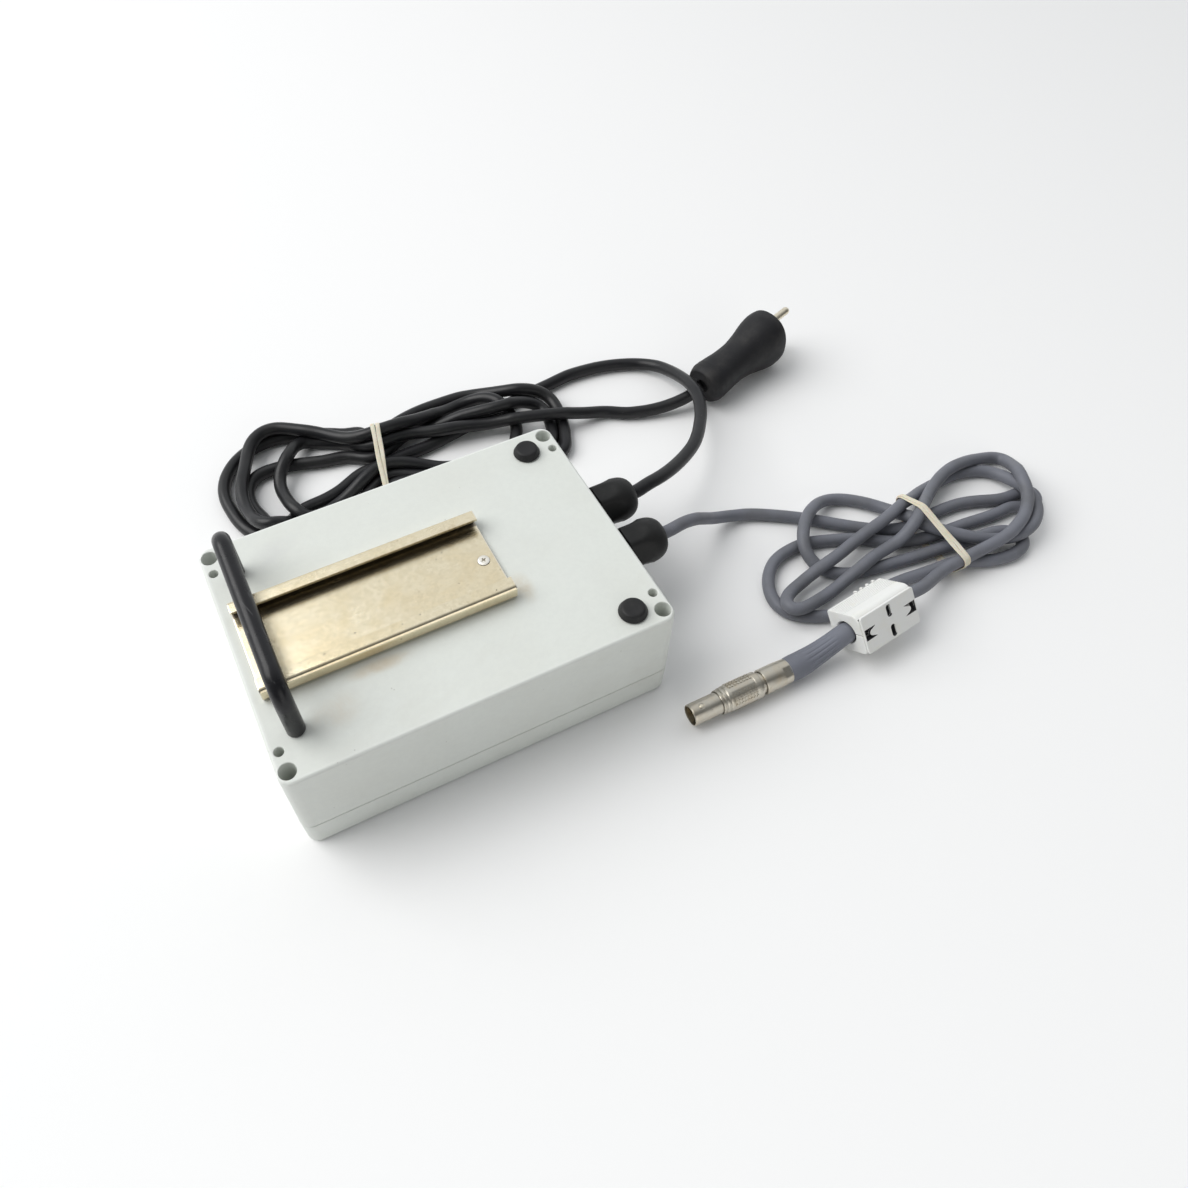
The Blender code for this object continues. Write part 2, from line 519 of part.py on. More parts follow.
DATA_END = [(244.2, -81.3, 12.8), (237, -80.8, 13.8), (229, -80.8, 14.5), right + FU * 3, FERRITE_C, left + FU * 1.0]
tube("data_cord_end", DATA_END, DATA_D, GREY_PVC)
band("data_band", data_hank, 257.0, 1.7, 22.0, 4.0, 0.8, BAND)

# clamp-on ferrite: two case halves and two core halves around the cord
FM = Matrix.Translation(FERRITE_C * MM) @ Matrix.Rotation(FERRITE_TURN, 4, "Z") @ Matrix.Rotation(FERRITE_ROLL, 4, "X")
H, L2 = FERRITE_HALF, FERRITE_L / 2
HINGE = Vector((0, H + 0.4, 0))
FH = FM @ Matrix.Translation(HINGE * MM)


def half_box(z0, z1, corners, r=2.4):
    """A length of box along X with the two given corners rounded."""
    pts = []
    for (y, z), rounded_corner in corners:
        if not rounded_corner:
            pts.append((y, z))
            continue
        cy, cz = y - math.copysign(r, y), z - math.copysign(r, z)
        a = math.atan2(z - cz, y - cy)
        for k in (-2, -1, 0, 1, 2):
            w = a + math.radians(22.5 * k)
            pts.append((cy + r * math.cos(w), cz + r * math.sin(w)))
    return pts


low = half_box(0, 0, (((-H, -0.15), False), ((-H, -H), True), ((H, -H), True), ((H, -0.15), False)))
top = half_box(0, 0, (((H, 0.15), False), ((H, H), True), ((-H, H), True), ((-H, 0.15), False)))
case_low = new_object("ferrite_case_lower", loft(bmesh.new(), [[(x, y, z) for y, z in low] for x in (-L2, L2)]), WHITE,
                      matrix=FM)
case_top = new_object("ferrite_case_upper",
                      loft(bmesh.new(), [[(x, y - HINGE.y, z) for y, z in top] for x in (-L2, L2)]), WHITE, matrix=FH)
flap = block("join_ferrite_flap", (-L2 + 0.4, -H - 1.2, -10.0), (L2 - 0.4, -H - 0.4, 9.8), None, matrix=FM, cutter=True)
foot = block("join_ferrite_flap_root", (-L2 + 0.6, -H - 1.1, -9.0), (L2 - 0.6, -H + 0.6, -1.6), None, matrix=FM, cutter=True)
join(case_low, flap, foot)
core_cut = lathe("cut_ferrite_core", [(-14.6, 8.2), (14.6, 8.2)], None, n=24, axis="X", matrix=FM, cutter=True)
bore_cut = lathe("cut_ferrite_bore", [(-L2 - 1, 5.5), (L2 + 1, 5.5)], None, n=20, axis="X", matrix=FM, cutter=True)
windows = [block(f"cut_ferrite_window_{k + 1}", (x - 1.9, -H - 3, -2.9), (x + 1.9, -H - 0.35, 2.9), None, matrix=FM, cutter=True)
           for k, x in enumerate((-14.6, 14.0))]
cut(case_low, core_cut, bore_cut, *windows)
cut(case_top, core_cut, bore_cut)


def half_core(name, s, matrix, shift=0.0):
    ro, ri, pts = 7.8, 5.5, []
    for k in range(11):
        a = math.radians(3 + 17.4 * k)
        pts.append((ro * math.cos(a), s * ro * math.sin(a)))
    for k in range(10, -1, -1):
        a = math.radians(5 + 17.0 * k)
        pts.append((ri * math.cos(a), s * ri * math.sin(a)))
    return new_object(name, loft(bmesh.new(), [[(x, y - shift, z) for y, z in pts] for x in (-14.2, 14.2)]), FERRITE,
                      matrix=matrix)


half_core("ferrite_core_lower", -1, FM)
half_core("ferrite_core_upper", 1, FH, HINGE.y)

# bend relief behind the connector
BOOT = [(144.4, CONN_Y, CONN_Z), (152, CONN_Y + 0.1, 7.6), (160.5, CONN_Y + 0.5, 9.2), (169, CONN_Y + 1.1, 11.7),
        (176.6, CONN_Y + 1.85, 13.9)]
tube("connector_boot", BOOT, 12.4, GREY_PVC, step=4.2, resolution=3,
     radii=(6.2, 6.4, 6.1, 5.75, 5.45, 5.3, 5.2, 5.1))

# ---- push-pull connector, along X, its open front to -X ---------------------
o = (0, CONN_Y, CONN_Z)
lathe("connector_collet_nut", [(128.9, 5.7), (128.9, 6.2), (129.5, 6.45), (139.5, 6.35), (140.3, 6.1), (143.2, 6.1),
                               (144.0, 5.7), (144.0, 3.7), (137.0, 3.7), (137.0, 5.7)], NICKEL, n=24, axis="X", origin=o, ring=True)
lathe("connector_release_sleeve", [(104.6, 5.7), (104.6, 5.95), (106.4, 6.2), (108.0, 6.6), (112.5, 6.85), (123.0, 6.85),
                                   (123.6, 6.6), (126.4, 6.6), (127.0, 6.2), (127.0, 5.7)], NICKEL, n=28, axis="X", origin=o, ring=True)
lathe("connector_shell", [(89.4, 4.75), (89.4, 5.2), (89.9, 5.4), (136.6, 5.4), (136.6, 3.7), (120.0, 3.7), (120.0, 4.75)],
      NICKEL, n=24, axis="X", origin=o, ring=True)
bm = turned(bmesh.new(), [(97.0, 4.45), (119.4, 4.45)], 20, "X", o)
ins = new_object("connector_insert", bm, PEEK)
pins = []
for k in range(7):
    a = 2 * math.pi * k / 6
    r = 0.0 if k == 6 else 2.7
    pins.append(lathe(f"join_contact_{k + 1}", [(91.8, 0.35), (92.3, 0.5), (98.0, 0.5)], None, n=8, axis="X",
                      origin=(0, CONN_Y + r * math.cos(a), CONN_Z + r * math.sin(a)), cutter=True))
join(ins, *pins)

# ---- inside: board, transformer, terminals ----------------------------------
board = block("circuit_board", (-66, -48, BOARD_Z - 1.6), (66, 48, BOARD_Z), BOARD)
cut(board, *[pipe_cut(f"cut_board_{k + 1}", x, y, BOARD_Z - 4, BOARD_Z + 2, 1.7, 12) for k, (x, y) in enumerate(BOSSES)])
for k, (x, y) in enumerate(BOSSES[:2]):
    s = lathe(f"board_screw_{k + 1}", [(39.2, 2.2), (39.8, 2.7), (41.7, 2.7), (41.7, 1.2), (51.5, 1.2)], STEEL, n=12,
              origin=(x, y, 0))
BT = BOARD_Z - 1.6 - GAP               # parts hang from here, towards the lid
tr = block("mains_transformer", (-56, -20, 13.0), (-14, 15, BT), DARK, bevel=0.8)
lathe("smoothing_capacitor", [(BT - 25, 7.4), (BT - 24.4, 8.0), (BT - 3.2, 8.0), (BT - 2.4, 7.5), (BT - 1.6, 8.0), (BT, 8.0)],
      DARK, n=20, origin=(4, 31, 0))
for tag, y in (("mains", GLAND_Y[0]), ("data", GLAND_Y[1])):
    t = block(f"{tag}_terminal_block", (44, y - 9, 28.0), (60, y + 9, BT), GREEN)
    cut(t, *[pipe_cut(f"cut_{tag}_terminal_{k}", 49.5, y + dy, 26.0, 30.0, 1.9, 12) for k, dy in enumerate((-5.5, 0, 5.5))])
lathe("fuse_holder", [(6.0, 3.2), (6.0, 4.8), (9.0, 5.4), (31.0, 5.4), (34.0, 4.8), (34.0, 3.2)], DARK, n=16, axis="X",
      origin=(0, -34, BT - 6.0))
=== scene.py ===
"""Looks of the survey data collector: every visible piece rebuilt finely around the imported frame."""
import math
import bpy
import bmesh
import numpy as np
from mathutils import Matrix, Vector


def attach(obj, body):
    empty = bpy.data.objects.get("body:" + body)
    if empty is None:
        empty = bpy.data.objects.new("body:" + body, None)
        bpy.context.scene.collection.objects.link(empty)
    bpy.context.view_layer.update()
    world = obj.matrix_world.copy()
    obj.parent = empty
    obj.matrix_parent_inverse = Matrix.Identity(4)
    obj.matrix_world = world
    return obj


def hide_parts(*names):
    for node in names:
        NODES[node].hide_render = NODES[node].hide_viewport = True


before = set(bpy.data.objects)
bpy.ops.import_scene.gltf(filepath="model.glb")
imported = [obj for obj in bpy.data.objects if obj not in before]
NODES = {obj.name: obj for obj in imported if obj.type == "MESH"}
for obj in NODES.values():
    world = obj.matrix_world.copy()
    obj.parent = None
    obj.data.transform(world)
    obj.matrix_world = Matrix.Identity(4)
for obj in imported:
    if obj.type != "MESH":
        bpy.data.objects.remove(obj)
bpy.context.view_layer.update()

MM = 0.001
SCN = bpy.context.scene
COL = SCN.collection

# =============================================================================
# camera, light, floor
# =============================================================================
cam_data = bpy.data.cameras.new("view_camera")
cam = bpy.data.objects.new("view_camera", cam_data)
COL.objects.link(cam)
cam_data.sensor_fit = "HORIZONTAL"
cam_data.sensor_width = 36.0
cam_data.lens = 28.789
cam_data.shift_x = 0.05303
cam_data.shift_y = -0.00779
cam_data.clip_start, cam_data.clip_end = 0.01, 50.0
cam.matrix_world = Matrix(((0.89776308, 0.36666288, -0.24408972, -0.06390958),
                           (-0.44021153, 0.72756547, -0.52617705, -0.24452543),
                           (-0.01533834, 0.57983344, 0.81459065, 0.40702887),
                           (0, 0, 0, 1)))
SCN.camera = cam
SCN.view_settings.view_transform = "Standard"
SCN.view_settings.look = "None"
SCN.view_settings.exposure = 0.0
SCN.view_settings.gamma = 1.0

world = bpy.data.worlds.new("soft_studio")
world.use_nodes = True
# a soft room: dark on the viewer's side, bright behind and above
wn, wl = world.node_tree.nodes, world.node_tree.links
w_dir, w_sep = wn.new("ShaderNodeTexCoord"), wn.new("ShaderNodeSeparateXYZ")
wl.new(w_dir.outputs["Generated"], w_sep.inputs["Vector"])
w_map = wn.new("ShaderNodeMapRange")
w_map.interpolation_type = "SMOOTHSTEP"
for k, v in (("From Min", -0.60), ("From Max", 0.45), ("To Min", 0.12), ("To Max", 0.84)):
    w_map.inputs[k].default_value = v
wl.new(w_sep.outputs["Y"], w_map.inputs["Value"])
wn["Background"].inputs["Color"].default_value = (0.955, 0.98, 1.0, 1)
wl.new(w_map.outputs["Result"], wn["Background"].inputs["Strength"])
SCN.world = world


def softbox(name, at, look, size, watts, colour=(1, 1, 1), size_y=None):
    ld = bpy.data.lights.new(name, "AREA")
    ld.energy, ld.color = watts, colour
    ld.shape, ld.size = ("RECTANGLE", size) if size_y else ("SQUARE", size)
    if size_y:
        ld.size_y = size_y
    ob = bpy.data.objects.new(name, ld)
    COL.objects.link(ob)
    ob.location = at
    ob.rotation_euler = (Vector(look) - Vector(at)).to_track_quat("-Z", "Y").to_euler()
    return ob


softbox("key_light", (-1.35, 0.95, 2.00), (0.08, 0, 0), 2.2, 54.0, (1.0, 0.99, 0.975))
softbox("front_fill", (0.20, -1.40, 0.42), (0.05, 0, 0.03), 1.0, 3.6, (1.0, 0.995, 0.98))

# =============================================================================
# materials
# =============================================================================


class Shade:
    """A small node builder round one Principled shader."""

    def __init__(self, name, base, rough, metal=0.0, spec=0.5, coat=0.0, coat_rough=0.1, sheen=0.0, sub=0.0):
        self.m = bpy.data.materials.new(name)
        self.m.use_nodes = True
        self.nt = self.m.node_tree
        self.b = self.nt.nodes["Principled BSDF"]
        self.b.inputs["Base Color"].default_value = (*base, 1)
        self.b.inputs["Roughness"].default_value = rough
        self.b.inputs["Metallic"].default_value = metal
        self.b.inputs["Specular IOR Level"].default_value = spec
        if coat:
            self.b.inputs["Coat Weight"].default_value = coat
            self.b.inputs["Coat Roughness"].default_value = coat_rough
        if sheen:
            self.b.inputs["Sheen Weight"].default_value = sheen
            self.b.inputs["Sheen Roughness"].default_value = 0.4
        if sub:
            self.b.inputs["Subsurface Weight"].default_value = sub
            self.b.inputs["Subsurface Scale"].default_value = 0.002
        self.m.diffuse_color = (*base, 1)
        self.base, self.rough = base, rough
        self.tc = self.nt.nodes.new("ShaderNodeTexCoord")
        self.colour = None
        self.normal = None
        self.r = None

    def link(self, a, b):
        self.nt.links.new(a, b)

    def coords(self, stretch=(1, 1, 1), turn=(0, 0, 0), origin=(0, 0, 0)):
        mp = self.nt.nodes.new("ShaderNodeMapping")
        mp.vector_type = "TEXTURE"
        mp.inputs["Location"].default_value = origin
        mp.inputs["Rotation"].default_value = turn
        mp.inputs["Scale"].default_value = tuple(1.0 / s for s in stretch)
        self.link(self.tc.outputs["Object"], mp.inputs["Vector"])
        return mp.outputs["Vector"]

    def noise(self, scale, detail=3.0, rough=0.55, distort=0.0, vec=None):
        n = self.nt.nodes.new("ShaderNodeTexNoise")
        n.inputs["Scale"].default_value = scale
        n.inputs["Detail"].default_value = detail
        n.inputs["Roughness"].default_value = rough
        n.inputs["Distortion"].default_value = distort
        self.link(vec or self.tc.outputs["Object"], n.inputs["Vector"])
        return n.outputs["Fac"]

    def voronoi(self, scale, vec=None, feature="F1", out="Distance", randomness=1.0):
        n = self.nt.nodes.new("ShaderNodeTexVoronoi")
        n.feature = feature
        n.inputs["Scale"].default_value = scale
        n.inputs["Randomness"].default_value = randomness
        self.link(vec or self.tc.outputs["Object"], n.inputs["Vector"])
        return n.outputs[out]

    def ramp(self, fac, lo, hi, a=0.0, b=1.0):
        n = self.nt.nodes.new("ShaderNodeMapRange")
        n.interpolation_type = "SMOOTHSTEP"
        self.link(fac, n.inputs["Value"])
        for k, v in (("From Min", lo), ("From Max", hi), ("To Min", a), ("To Max", b)):
            n.inputs[k].default_value = v
        return n.outputs["Result"]

    def length(self, vec):
        n = self.nt.nodes.new("ShaderNodeVectorMath")
        n.operation = "LENGTH"
        self.link(vec, n.inputs[0])
        return n.outputs["Value"]

    def attr(self, name):
        n = self.nt.nodes.new("ShaderNodeAttribute")
        n.attribute_name = name
        return n.outputs["Fac"]

    def math(self, op, a, b=None, clamp=False):
        n = self.nt.nodes.new("ShaderNodeMath")
        n.operation, n.use_clamp = op, clamp
        for k, v in enumerate((a, b)):
            if v is None:
                continue
            if isinstance(v, (int, float)):
                n.inputs[k].default_value = v
            else:
                self.link(v, n.inputs[k])
        return n.outputs[0]

    def tint(self, fac, colour, blend="MIX"):
        """Mix another colour over the base where fac is high."""
        n = self.nt.nodes.new("ShaderNodeMix")
        n.data_type, n.blend_type = "RGBA", blend
        self.link(fac, n.inputs["Factor"])
        if self.colour is None:
            n.inputs["A"].default_value = (*self.base, 1)
            for s in n.inputs:
                if s.name == "A" and s.type == "RGBA":
                    s.default_value = (*self.base, 1)
        else:
            self.link(self.colour, [s for s in n.inputs if s.name == "A" and s.type == "RGBA"][0])
        [s for s in n.inputs if s.name == "B" and s.type == "RGBA"][0].default_value = (*colour, 1)
        self.colour = [s for s in n.outputs if s.type == "RGBA"][0]
        return self

    def roughen(self, fac, lo, hi):
        """Roughness from lo to hi as fac goes 0 to 1; a second call adds to the first."""
        v = self.ramp(fac, 0.0, 1.0, lo, hi)
        self.r = v if self.r is None else self.math("ADD", self.r, v)
        return self

    def bump(self, height, strength, distance):
        n = self.nt.nodes.new("ShaderNodeBump")
        n.inputs["Strength"].default_value = strength
        n.inputs["Distance"].default_value = distance
        self.link(height, n.inputs["Height"])
        if self.normal is not None:
            self.link(self.normal, n.inputs["Normal"])
        self.normal = n.outputs["Normal"]
        return self

    def done(self):
        if self.colour is not None:
            self.link(self.colour, self.b.inputs["Base Color"])
        if self.r is not None:
            self.link(self.r, self.b.inputs["Roughness"])
        if self.normal is not None:
            self.link(self.normal, self.b.inputs["Normal"])
        return self.m


# smudges and painted shadows on the enclosure, beside the rail and the handle feet on their shadow sides: place, half
# sizes and turn, strength, colour
SMUDGES_AND_PAINTED_SHADOWS = (((0.0358, -0.0208, 0.061), (0.0065, 0.012, 0.0), 0.42, (0.50, 0.38, 0.22)),
          ((-0.0355, -0.0298, 0.061), (0.019, 0.0050, 0.0), 0.50, (0.50, 0.38, 0.22)),
          ((-0.0600, -0.0425, 0.061), (0.017, 0.011, 0.3), 0.30, (0.56, 0.46, 0.33)),
          ((-0.0600, 0.0480, 0.061), (0.019, 0.010, 0.5), 0.22, (0.50, 0.50, 0.52)))


def case_plastic():
    s = Shade("moulded_grey_white_plastic", (0.730, 0.757, 0.716), 0.5, spec=0.40)
    big = s.noise(22, 4, 0.6)
    s.tint(s.ramp(big, 0.35, 0.75, 0.0, 0.30), (0.66, 0.665, 0.61))
    fine = s.noise(420, 3, 0.6)
    s.tint(s.ramp(fine, 0.3, 0.7, 0.0, 0.12), (0.58, 0.60, 0.58))
    specks = s.voronoi(230, feature="F1")
    rare = s.noise(75, 1, 0.5)
    s.tint(s.math("MULTIPLY", s.ramp(specks, 0.10, 0.02), s.ramp(rare, 0.60, 0.66, 0, 0.55)), (0.20, 0.18, 0.15))
    smear = s.noise(30, 5, 0.7, vec=s.coords((0.35, 1.0, 1.0), (0, 0, 0.5)))
    s.tint(s.ramp(smear, 0.55, 0.85, 0.0, 0.25), (0.52, 0.50, 0.44))
    # painted shadows of the rail and the handle, tinted brown like rubbed-in smudges; the grey one by the rear handle
    # foot is plain painted shadow
    blotch = s.noise(85, 5, 0.65, 0.6)
    for at, size, depth, tone in SMUDGES_AND_PAINTED_SHADOWS:
        m = s.ramp(s.length(s.coords((1 / size[0], 1 / size[1], 1 / size[0]), (0, 0, size[2]), at)), 1.0, 0.15)
        s.tint(s.math("MULTIPLY", m, s.ramp(blotch, 0.30, 0.62, 0.25 * depth, depth)), tone)
    s.tint(s.ramp(s.attr("wear"), 0.0, 1.0, 0.0, 0.30), (0.80, 0.82, 0.80))
    s.roughen(s.noise(60, 4), 0.36, 0.56)
    # spark-eroded mould texture with a few long hair scratches
    s.bump(s.noise(2600, 3, 0.6), 0.22, 0.00012)
    s.bump(s.noise(650, 2, 0.5), 0.10, 0.0002)
    s.bump(s.ramp(s.noise(520, 2, 0.4, vec=s.coords((0.04, 1.0, 1.0), (0, 0, 0.9))), 0.70, 0.78), 0.10, 0.00006)
    return s.done()


def zinc():
    s = Shade("yellow_passivated_zinc", (0.86, 0.77, 0.57), 0.3, metal=1.0)
    cloud = s.noise(38, 5, 0.62, 0.4)
    s.tint(s.ramp(cloud, 0.40, 0.70, 0.0, 0.70), (0.83, 0.70, 0.46))
    cell = s.voronoi(520, out="Color")
    s.tint(s.ramp(cell, 0.2, 0.9, 0.0, 0.22), (0.66, 0.56, 0.38))
    s.tint(s.ramp(s.noise(1100, 4, 0.7), 0.50, 0.74, 0.0, 0.30), (0.60, 0.50, 0.33))
    s.tint(s.ramp(s.noise(95, 6, 0.75), 0.58, 0.78, 0.0, 0.50), (0.55, 0.43, 0.26))
    dots = s.math("MULTIPLY", s.ramp(s.voronoi(310), 0.16, 0.05), s.ramp(s.noise(120, 2), 0.52, 0.62, 0, 0.8))
    s.tint(dots, (0.24, 0.19, 0.13))
    s.tint(s.ramp(s.attr("wear"), 0.0, 1.0, 0.0, 0.6), (0.90, 0.86, 0.76))
    # painted shade inside the folds of the channel: a dark tint under the lips and on the inner walls
    for y in (0.0216, -0.0216):
        fold_painted_shade = s.length(s.coords((0.001, 1 / 0.0030, 1 / 0.0034), (0, 0, 0), (0, y, 0.0654)))
        s.tint(s.ramp(fold_painted_shade, 1.12, 0.90, 0.0, 0.90), (0.21, 0.19, 0.155))
    brushed = s.noise(1500, 3, 0.6, vec=s.coords((0.03, 1.0, 1.0)))
    s.roughen(cloud, 0.22, 0.16)
    s.roughen(brushed, 0.0, 0.10)
    s.bump(brushed, 0.16, 0.00005)
    s.bump(s.noise(900, 3, 0.6), 0.16, 0.00006)
    s.bump(dots, 0.3, 0.00004)
    return s.done()


def steel():
    s = Shade("bright_plated_steel", (0.86, 0.83, 0.76), 0.36, metal=1.0)
    s.tint(s.ramp(s.noise(500, 4), 0.45, 0.8, 0, 0.6), (0.62, 0.57, 0.48))
    s.roughen(s.noise(900, 3), 0.30, 0.52)
    s.bump(s.noise(2600, 2), 0.12, 0.00003)
    return s.done()


def brass():
    s = Shade("brass_insert", (0.78, 0.60, 0.28), 0.32, metal=1.0)
    s.tint(s.ramp(s.noise(420, 4), 0.45, 0.8, 0, 0.6), (0.45, 0.32, 0.14))
    s.roughen(s.noise(900, 3), 0.24, 0.46)
    s.bump(s.noise(2400, 2), 0.12, 0.00003)
    return s.done()


def nickel(name, axis_stretch, base=(0.56, 0.53, 0.46)):
    s = Shade(name, base, 0.3, metal=1.0)
    s.tint(s.ramp(s.noise(160, 5, 0.65), 0.42, 0.75, 0, 0.55), (0.56, 0.47, 0.34))
    s.tint(s.ramp(s.noise(900, 3, 0.6), 0.55, 0.85, 0, 0.5), (0.30, 0.27, 0.22))
    turned = s.noise(2600, 3, 0.6, vec=s.coords(axis_stretch))
    s.roughen(turned, 0.20, 0.40)
    s.roughen(s.noise(220, 3), 0.0, 0.10)
    s.bump(turned, 0.10, 0.00003)
    return s.done()


def bar_black():
    s = Shade("black_coated_bar", (0.010, 0.010, 0.012), 0.3, spec=0.26, coat=0.10, coat_rough=0.2)
    s.tint(s.ramp(s.noise(130, 5, 0.7), 0.52, 0.80, 0, 0.6), (0.030, 0.030, 0.034))
    scuff = s.ramp(s.noise(420, 4, 0.6, vec=s.coords((1.0, 0.12, 1.0), (0.1, 0, 0.2))), 0.62, 0.74)
    s.tint(s.math("MULTIPLY", scuff, 0.35), (0.16, 0.16, 0.165))
    s.roughen(s.noise(240, 4, 0.6), 0.20, 0.42)
    s.bump(s.noise(1400, 3, 0.55), 0.16, 0.00008)
    s.bump(scuff, 0.12, 0.00003)
    return s.done()


def rubber(name, base=(0.030, 0.030, 0.032), rough=0.6, dust=(0.12, 0.115, 0.105), dusty=0.35):
    s = Shade(name, base, rough, spec=0.28)
    s.tint(s.ramp(s.noise(70, 5, 0.65), 0.42, 0.78, 0, dusty), dust)
    s.tint(s.ramp(s.noise(900, 4, 0.7), 0.60, 0.80, 0, 0.35), dust)
    s.roughen(s.noise(150, 4), rough - 0.12, rough + 0.10)
    s.bump(s.noise(2200, 3, 0.65), 0.30, 0.00010)
    s.bump(s.noise(330, 3, 0.5), 0.15, 0.00018)
    return s.done()


def nylon():
    s = Shade("black_glass_filled_nylon", (0.012, 0.012, 0.012), 0.48, spec=0.28)
    s.tint(s.ramp(s.noise(85, 5, 0.65), 0.45, 0.75, 0, 0.45), (0.030, 0.030, 0.028))
    fibres = s.noise(1700, 3, 0.6, vec=s.coords((0.15, 1.0, 1.0)))
    s.roughen(fibres, 0.36, 0.60)
    s.bump(fibres, 0.20, 0.00008)
    s.bump(s.noise(500, 2), 0.08, 0.00015)
    return s.done()


def sheath(name, base, tinge, scuffs, rough, coat=0.0):
    """Extruded cord sheath: faint undulation, small scuffs and dust."""
    s = Shade(name, base, rough, spec=0.34, coat=coat, coat_rough=0.25)
    s.tint(s.ramp(s.noise(45, 5, 0.6), 0.36, 0.72, 0, 0.75), tinge)
    marks = s.ramp(s.noise(480, 5, 0.72, 0.6), 0.61, 0.74)
    s.tint(s.math("MULTIPLY", marks, 0.5), scuffs)
    s.roughen(s.noise(170, 4, 0.6), rough - 0.10, rough + 0.12)
    s.bump(s.noise(1500, 3, 0.6), 0.18, 0.00008)
    s.bump(s.noise(140, 2, 0.5), 0.22, 0.00045)
    s.bump(marks, -0.10, 0.00004)
    return s.done()


def band_rubber():
    s = Shade("natural_rubber_band", (0.70, 0.63, 0.49), 0.55, spec=0.4, sub=0.15)
    s.tint(s.ramp(s.noise(160, 4, 0.6), 0.35, 0.75, 0, 0.7), (0.80, 0.76, 0.66))
    s.tint(s.ramp(s.noise(700, 4, 0.7), 0.58, 0.78, 0, 0.5), (0.44, 0.35, 0.22))
    s.roughen(s.noise(400, 3), 0.42, 0.66)
    s.bump(s.noise(1600, 3, 0.6, vec=s.coords((1.0, 0.25, 0.25))), 0.30, 0.00012)
    return s.done()


def white_plastic():
    s = Shade("off_white_polyamide", (0.800, 0.805, 0.785), 0.34, spec=0.5)
    s.tint(s.ramp(s.noise(120, 4, 0.6), 0.45, 0.72, 0, 0.45), (0.78, 0.76, 0.67))
    s.tint(s.ramp(s.noise(520, 5, 0.75), 0.60, 0.80, 0, 0.35), (0.47, 0.44, 0.38))
    s.roughen(s.noise(260, 4), 0.26, 0.44)
    s.bump(s.noise(1500, 3, 0.55), 0.14, 0.00008)
    return s.done()


def ferrite_core():
    s = Shade("sintered_ferrite", (0.045, 0.045, 0.050), 0.5, metal=0.15)
    s.tint(s.ramp(s.noise(600, 5, 0.7), 0.45, 0.75, 0, 0.6), (0.10, 0.10, 0.11))
    s.roughen(s.noise(500, 4), 0.35, 0.62)
    s.bump(s.noise(2600, 4, 0.7), 0.30, 0.00010)
    return s.done()


def plain(name, base, rough, grain=1200, second=None, metal=0.0):
    """Moulded or coated inside parts: two-tone mottling, fine grain."""
    s = Shade(name, base, rough, metal=metal)
    s.tint(s.ramp(s.noise(180, 4, 0.6), 0.4, 0.75, 0, 0.5), second or tuple(min(1, c * 1.5 + 0.01) for c in base))
    s.roughen(s.noise(300, 3), max(rough - 0.1, 0.1), min(rough + 0.12, 0.95))
    s.bump(s.noise(grain, 3, 0.6), 0.2, 0.0001)
    return s.done()


def board_green():
    s = Shade("solder_mask_board", (0.020, 0.13, 0.05), 0.4, coat=0.3, coat_rough=0.15)
    tracks = s.ramp(s.voronoi(260, feature="DISTANCE_TO_EDGE"), 0.05, 0.09)
    s.tint(s.math("MULTIPLY", tracks, 0.5), (0.04, 0.24, 0.09))
    s.tint(s.ramp(s.noise(900, 3), 0.55, 0.75, 0, 0.25), (0.09, 0.28, 0.12))
    s.roughen(s.noise(400, 3), 0.30, 0.48)
    s.bump(tracks, 0.3, 0.00006)
    return s.done()


M_CASE, M_ZINC, M_STEEL, M_BRASS = case_plastic(), zinc(), steel(), brass()
M_NICKEL = nickel("satin_nickel_turned", (1.0, 0.02, 0.02))
M_PIN = nickel("nickel_plated_pin", (0.3, 0.3, 0.3), (0.80, 0.74, 0.60))
M_GOLD = nickel("gilt_contact", (0.3, 0.3, 0.3), (0.86, 0.68, 0.34))
M_BAR, M_NYLON = bar_black(), nylon()
M_FOOT = rubber("black_foot_rubber", (0.016, 0.016, 0.017), 0.55, (0.06, 0.058, 0.052))
M_PLUG = rubber("plug_rubber", (0.014, 0.014, 0.016), 0.58, (0.050, 0.047, 0.044), 0.5)
M_BLACK_CORD = sheath("black_cord_sheath", (0.012, 0.012, 0.014), (0.022, 0.022, 0.022), (0.07, 0.068, 0.066), 0.34)
M_GREY_CORD = sheath("grey_cord_sheath", (0.165, 0.172, 0.200), (0.125, 0.128, 0.138), (0.28, 0.28, 0.30), 0.50)
M_BOOT = sheath("grey_boot_pvc", (0.170, 0.180, 0.215), (0.140, 0.145, 0.168), (0.28, 0.28, 0.30), 0.52)
M_BAND, M_WHITE, M_CORE = band_rubber(), white_plastic(), ferrite_core()
M_PEEK = plain("contact_insert_black", (0.035, 0.030, 0.026), 0.55)
M_BOARD = board_green()
M_GREEN = plain("terminal_green_nylon", (0.03, 0.22, 0.07), 0.45, second=(0.05, 0.30, 0.10))
M_DARK = plain("component_black_epoxy", (0.025, 0.025, 0.027), 0.5)
M_XFMR = plain("laminated_core_varnish", (0.05, 0.035, 0.025), 0.42, 600, (0.11, 0.09, 0.07))
M_GASKET = plain("grey_neoprene_gasket", (0.09, 0.09, 0.09), 0.8, 900)

# =============================================================================
# mesh tools, in millimetres
# =============================================================================


def finish_mesh(ob, angle=38.0):
    me = ob.data
    me.shade_smooth()
    me.set_sharp_from_angle(angle=math.radians(angle))
    m = ob.modifiers.new("weighted", "WEIGHTED_NORMAL")
    m.keep_sharp = True
    m.weight = 60
    return ob


